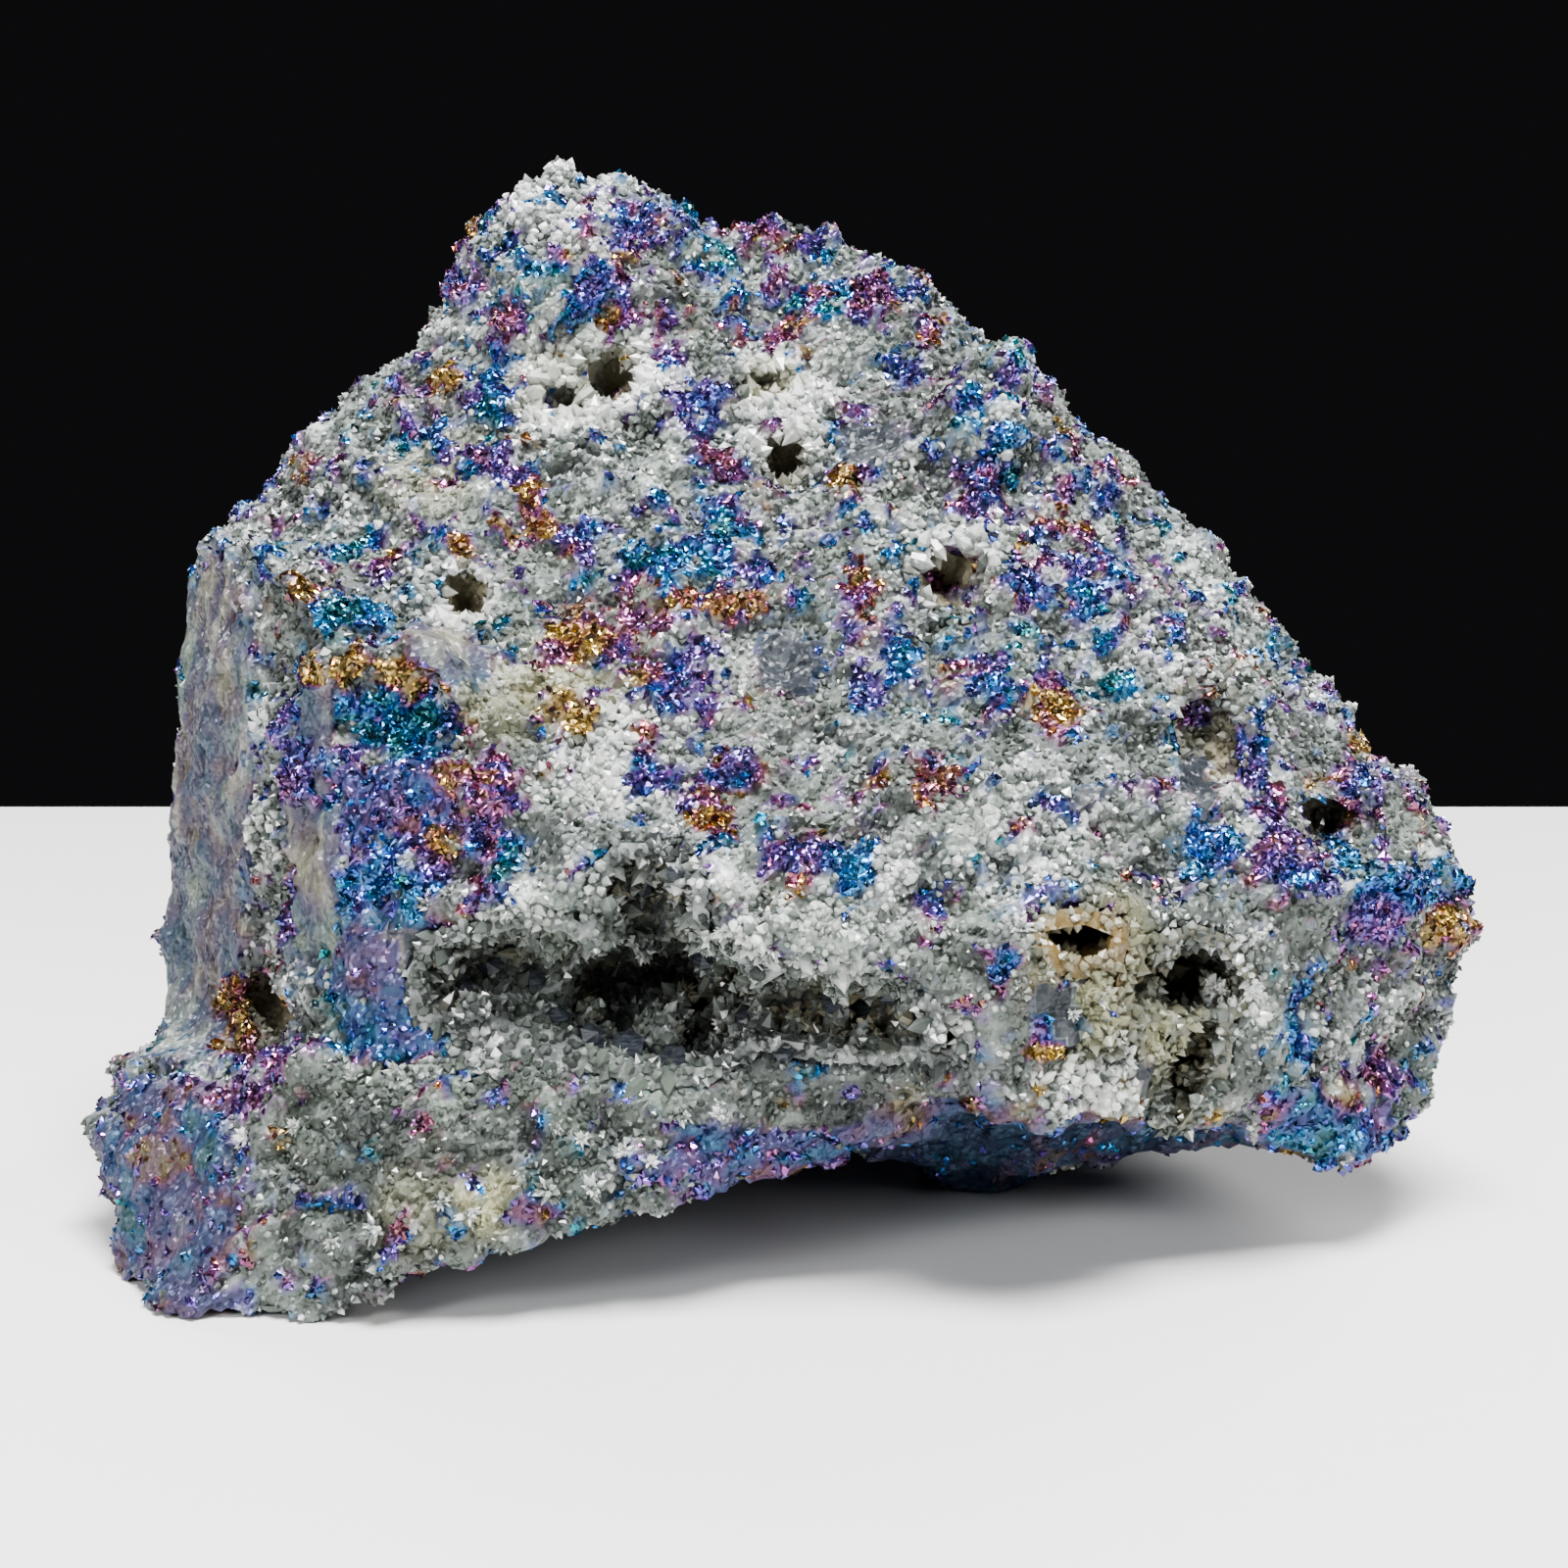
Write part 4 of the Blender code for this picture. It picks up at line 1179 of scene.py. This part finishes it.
class Finish:
    """A material: Principled BSDF with constants on its sockets, and nodes made by one method."""

    def __init__(self, name, **constants):
        self.material = bpy.data.materials.new(name)
        self.material.use_nodes = True
        self.tree = self.material.node_tree
        self.shader = self.tree.nodes["Principled BSDF"]
        for socket, value in constants.items():
            self.shader.inputs[socket.replace("_", " ")].default_value = value

    def node(self, kind, settings=None, inputs=None, output=0):
        """Adds a node: its settings first, then its sockets' values or links."""
        made = self.tree.nodes.new(kind)
        for key, value in (settings or {}).items():
            setattr(made, key, value)
        for key, value in (inputs or {}).items():
            self.plug(made.inputs[key], value)
        return Wire(self, made.outputs[output])

    def plug(self, socket, value):
        if isinstance(value, Wire):
            self.tree.links.new(value.socket, socket)
        else:
            socket.default_value = value

    def feed(self, socket, value):
        self.plug(self.shader.inputs[socket], value)

    def stored(self, name):
        return self.node("ShaderNodeAttribute", {"attribute_name": name}, output=2)

    def object_place(self, stretch=(1, 1, 1)):
        place = self.node("ShaderNodeTexCoord", output=3)
        return self.node("ShaderNodeMapping", None, {"Vector": place, "Scale": stretch})

    def mix(self, share, first, second):
        """A colour between two colours."""
        settings = {"data_type": "RGBA"}
        return self.node("ShaderNodeMix", settings, {0: share, 6: first, 7: second}, output=2)

    def speckle(self, size, detail=2.0, stretch=(1, 1, 1)):
        inputs = {"Vector": self.object_place(stretch), "Scale": 1 / size, "Detail": detail}
        return self.node("ShaderNodeTexNoise", None, inputs)

    def ramp(self, value, stops):
        made = self.node("ShaderNodeValToRGB", None, {"Fac": value})
        elements = made.socket.node.color_ramp.elements
        while len(elements) < len(stops):
            elements.new(0.5)
        for element, (place, colour) in zip(elements, stops):
            element.position = place
            element.color = (*colour, 1)
        return made

    def vector(self, operation, first, second, output=0):
        return self.node("ShaderNodeVectorMath", {"operation": operation}, {0: first, 1: second}, output)

    def facets(self, size):
        """Height of small flat facets, each with its own slope."""
        place = self.object_place()
        inputs = {"Vector": place, "Scale": 1 / size}
        cell = self.node("ShaderNodeTexVoronoi", {"feature": "F1"}, inputs, output=1)
        centre = Wire(self, cell.socket.node.outputs["Position"])
        slope = self.vector("SUBTRACT", cell, (0.5, 0.5, 0.5))
        offset = self.vector("SUBTRACT", place, centre)
        return self.vector("DOT_PRODUCT", slope, offset, output=1)

    def closeness(self, place, reach):
        """1 at a place and 0 or less from its reach outward."""
        return 1 - self.vector("DISTANCE", self.object_place(), tuple(place), output=1) * (1 / reach)

    def bump(self, height, distance, strength=1.0):
        inputs = {"Strength": strength, "Distance": distance, "Height": height}
        self.feed("Normal", self.node("ShaderNodeBump", None, inputs))


QUARTZ_TONES = [
    (0.0, (0.045, 0.05, 0.05)), (0.28, (0.15, 0.165, 0.16)), (0.60, (0.52, 0.55, 0.535)),
    (0.88, (0.95, 0.96, 0.94)),
]
QUARTZ_GREEN = (0.22, 0.26, 0.22, 1)
STAIN_YELLOW = (0.40, 0.38, 0.21, 1)
PIT_BROWN = (0.33, 0.30, 0.21, 1)
HOLE_BROWN = (0.18, 0.13, 0.055, 1)
DARK_ORE_AND_SHADE = (0.06, 0.06, 0.075, 1)
DULL_STREAKS = [
    (0.32, (0.03, 0.036, 0.044)), (0.46, (0.07, 0.08, 0.09)), (0.53, (0.085, 0.083, 0.10)),
    (0.60, (0.13, 0.145, 0.12)), (0.80, (0.34, 0.34, 0.29)),
]
SMOKY_TONES = [(0.35, (0.018, 0.021, 0.027)), (0.65, (0.06, 0.068, 0.08))]

# The green, yellow and brown in the quartz: patch size, how rare, and how strong.
GREEN_SIZE = 9 * MM
GREEN_RARITY = 3.0
GREEN_STRENGTH = 1.8
STAIN_STRENGTH = 0.55
PIT_RARITY = 4.0
PIT_STRENGTH = 2.0

# Small changes of the film's colour over the ore: size and spread.
FILM_GRAIN = 1.4 * MM
FILM_GRAIN_SPREAD = 0.24

# The upright streaks of dull ore and their mottle, and how much darker slate is than the wall.
STREAK_SIZE = 3.4 * MM
STREAK_DETAIL = 3.5
STREAK_STRETCH = (1, 1, 0.3)
STREAK_LIFT = 0.05
MOTTLE_SIZE = 7 * MM
MOTTLE_STRENGTH = 0.5
SLATE_DARKNESS = 11


def quartz_colour(finish, tone):
    """From smoky gray to milky white by the tone, which also carries painted light and shade; greenish
    in places, stained yellow and brown in the pits.
    """
    colour = finish.ramp(tone, QUARTZ_TONES)
    green = finish.speckle(GREEN_SIZE) ** GREEN_RARITY * GREEN_STRENGTH
    colour = finish.mix(green, colour, QUARTZ_GREEN)
    colour = finish.mix(finish.stored("stain") * STAIN_STRENGTH, colour, STAIN_YELLOW)
    return finish.mix(finish.stored("hollow") ** PIT_RARITY * PIT_STRENGTH, colour, PIT_BROWN)


def ore_colour(finish, shade):
    """The colour of the tarnish film, mixed toward dark gray where the shade is low: partly bare ore,
    partly painted shade and dark reflection.
    """
    film = finish.stored("film") + (finish.speckle(FILM_GRAIN) - 0.5) * FILM_GRAIN_SPREAD
    return finish.mix(shade, DARK_ORE_AND_SHADE, finish.ramp(film, FILM_COLOURS))


def rock_finish():
    """Quartz groundmass, bright ore and dull streaked ore, told apart by the stored maps."""
    finish = Finish("rough_rock_finish", Specular_IOR_Level=0.5)
    ore = finish.stored("ore")
    dull = finish.stored("dull")
    grain = finish.speckle(0.7 * MM, 4.0)
    tone = finish.stored("tone") * 0.8 + (grain - 0.5) * 0.6
    mottle = (finish.speckle(MOTTLE_SIZE) - 0.5) * MOTTLE_STRENGTH
    off_wall = dull - WALL
    streaks = finish.speckle(STREAK_SIZE, STREAK_DETAIL, STREAK_STRETCH) + mottle
    streaks = streaks - off_wall * off_wall * SLATE_DARKNESS + STREAK_LIFT
    dull_colour = finish.ramp(streaks, DULL_STREAKS)
    ore_mix = finish.mix(dull, ore_colour(finish, ROCK_SHADE), dull_colour)
    finish.feed("Base Color", finish.mix(ore, quartz_colour(finish, tone), ore_mix))
    finish.feed("Metallic", ore * (0.92 - dull * 0.82))
    finish.feed("Roughness", 0.5 - ore * 0.18 + dull * 0.1 + (grain - 0.5) * 0.2)
    finish.bump(finish.facets(0.45 * MM), 1.0)
    return finish.material


def chip_finish():
    finish = Finish("ore_chip_finish", Metallic=0.95)
    finish.feed("Base Color", ore_colour(finish, finish.stored("shade")))
    finish.feed("Roughness", 0.14 + finish.speckle(1.1 * MM) * 0.16)
    finish.bump(finish.facets(0.5 * MM), 0.9)
    return finish.material


def crystal_finish():
    """Milky points, darker at the root than at the tip: painted shade at the root and painted light at
    the tip.
    """
    finish = Finish("quartz_finish", Transmission_Weight=0.3, IOR=1.54)
    root_shade = (finish.stored("tip") - 0.5) * TIP_LIGHT_ROOT_SHADE
    tone = finish.stored("tone") + root_shade + (finish.speckle(1.5 * MM) - 0.5) * 0.3
    finish.feed("Base Color", quartz_colour(finish, tone))
    finish.feed("Roughness", 0.08 + finish.speckle(0.8 * MM) * 0.16)
    return finish.material


def smoky_finish():
    """Dark glassy crystals with faint growth bands."""
    finish = Finish("smoky_quartz_finish", IOR=1.54, Specular_IOR_Level=0.3)
    bands = finish.speckle(1.2 * MM, 2.0, (1, 1, 5))
    finish.feed("Base Color", finish.ramp(bands, SMOKY_TONES))
    finish.feed("Roughness", 0.12 + bands * 0.2)
    return finish.material


def crust_finish(name, tone, stain, hole):
    """The quartz of a crust, darker between its points as painted shade, and brown at the open hole."""
    finish = Finish(name, Transmission_Weight=0.2, IOR=1.54)
    colour = finish.ramp((finish.speckle(2.2 * MM, 4.0) - 0.5) * 0.9 + tone, QUARTZ_TONES)
    colour = finish.mix(stain, colour, STAIN_YELLOW)
    finish.feed("Base Color", finish.mix(finish.closeness(hole, HOLE_REACH) * 3, colour, HOLE_BROWN))
    finish.feed("Roughness", 0.16 + finish.speckle(0.8 * MM) * 0.2)
    finish.bump(finish.facets(0.6 * MM), 0.5)
    return finish.material


def lamp(name, place, size, power):
    """A square soft lamp that points at the lump's middle."""
    light = bpy.data.lights.new(name, "AREA")
    light.size = size
    light.energy = power
    piece = linked(name, light)
    piece.location = place
    piece.rotation_euler = (Vector((0, 0, 0.05)) - Vector(place)).to_track_quat("-Z", "Y").to_euler()


def studio():
    """A plain pale floor, dark surroundings and soft lamps all round."""
    world = bpy.data.worlds.new("studio_dark")
    world.use_nodes = True
    background = world.node_tree.nodes["Background"]
    background.inputs["Color"].default_value = (0.010, 0.010, 0.011, 1)
    background.inputs["Strength"].default_value = 1.0
    bpy.context.scene.world = world
    bpy.context.scene.view_settings.look = "AgX - Medium High Contrast"
    shape = bmesh.new()
    bmesh.ops.create_grid(shape, x_segments=1, y_segments=1, size=0.5)
    bmesh.ops.translate(shape, verts=shape.verts, vec=(0, -0.22, CAD_LOW[2] - FLOOR_CLEARANCE))
    mesh = bpy.data.meshes.new("floor")
    shape.to_mesh(mesh)
    shape.free()
    floor = linked("floor", mesh)
    pale = Finish("floor_finish", Base_Color=(0.74, 0.74, 0.73, 1), Roughness=0.55)
    mesh.materials.append(pale.material)
    lamp("overhead", (0.06, -0.20, 0.70), 0.30, 14.0)
    lamp("front_left", (-0.50, -0.65, 0.40), 0.25, 4.5)
    lamp("front_right", (0.60, -0.55, 0.35), 0.20, 2.5)
    lamp("back_left", (-0.45, 0.60, 0.50), 0.30, 4.0)
    lamp("back_right", (0.50, 0.55, 0.45), 0.30, 4.0)


def camera():
    lens = bpy.data.cameras.new("camera")
    lens.lens = LENS
    lens.sensor_width = SENSOR
    lens.clip_start = 0.01
    piece = linked("camera", lens)
    piece.location = CAMERA_PLACE
    piece.rotation_euler = (math.pi / 2 - CAMERA_PITCH, 0, 0)
    bpy.context.scene.camera = piece


# The crust nodes: their finish's name, slot, tone and stain. The tone is low, painted shade between the
# points; the cavern's is higher, painted light in its deepest gaps.
CRUSTS = {
    "cavern_crystals": ("cavern", "dark_quartz", 0.32, 0.0),
    "right_hollow_crystals": ("right_hollow", "stained_quartz", 0.20, 0.25),
}


def crust_mesh(node):
    """A merged copy of a crust, and the tree to find places on it."""
    mesh = merged_copy(node)
    return mesh, mesh_tree(mesh)


def map_crust(mesh, tree, trees):
    """Stores an empty ore map and the quartz maps on a crust's copy, to strew points over it."""
    points = vertex_places(mesh)
    maps = {name: np.zeros(len(points)) for name in NUMBERS}
    maps |= quartz_maps(points, vertex_normals(mesh), tree, trees)
    for name, values in maps.items():
        store(mesh, name, values)
    return Surface(mesh)


def dressed(piece, material, slot):
    """Gives a new piece its material and its body; the slot argument is not used."""
    piece.data.materials.clear()
    piece.data.materials.append(material)
    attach(piece, "root")


def build():
    random = np.random.default_rng(7)
    crust_meshes, crust_trees = zip(*(crust_mesh(node) for node in CRUSTS))
    rock, rock_tree = rough_rock(random, crust_trees)
    trees = [rock_tree, *crust_trees]
    crusts = [map_crust(mesh, tree, trees) for mesh, tree in zip(crust_meshes, crust_trees)]
    dressed(rock, rock_finish(), "tarnished_ore")
    surface = Surface(rock.data)
    quartz = crystal_finish()
    for piece in fine_druse(random, surface, crust_trees):
        dressed(piece, quartz, "dark_quartz")
    for piece in coarse_points(random, surface, crust_trees):
        dressed(piece, quartz, "dark_quartz")
    hole, _ = seen_spot(trees, *HOLE_MARK)
    for (node, (name, slot, tone, stain)), crust in zip(CRUSTS.items(), crusts):
        for piece in crust_points(random, name, crust, rock_tree):
            dressed(piece, quartz, slot)
        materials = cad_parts[node].data.materials
        materials.clear()
        materials.append(crust_finish(f"{name}_crust_finish", tone, stain, hole))
    dressed(rosettes(random, surface, crusts, crust_trees, trees), quartz, "dark_quartz")
    dressed(smoky_crystals(random, trees), smoky_finish(), "dark_quartz")
    chips = chip_finish()
    for piece in ore_chips(random, surface):
        dressed(piece, chips, "tarnished_ore")
    for mesh in crust_meshes:
        bpy.data.meshes.remove(mesh)


build()
studio()
camera()
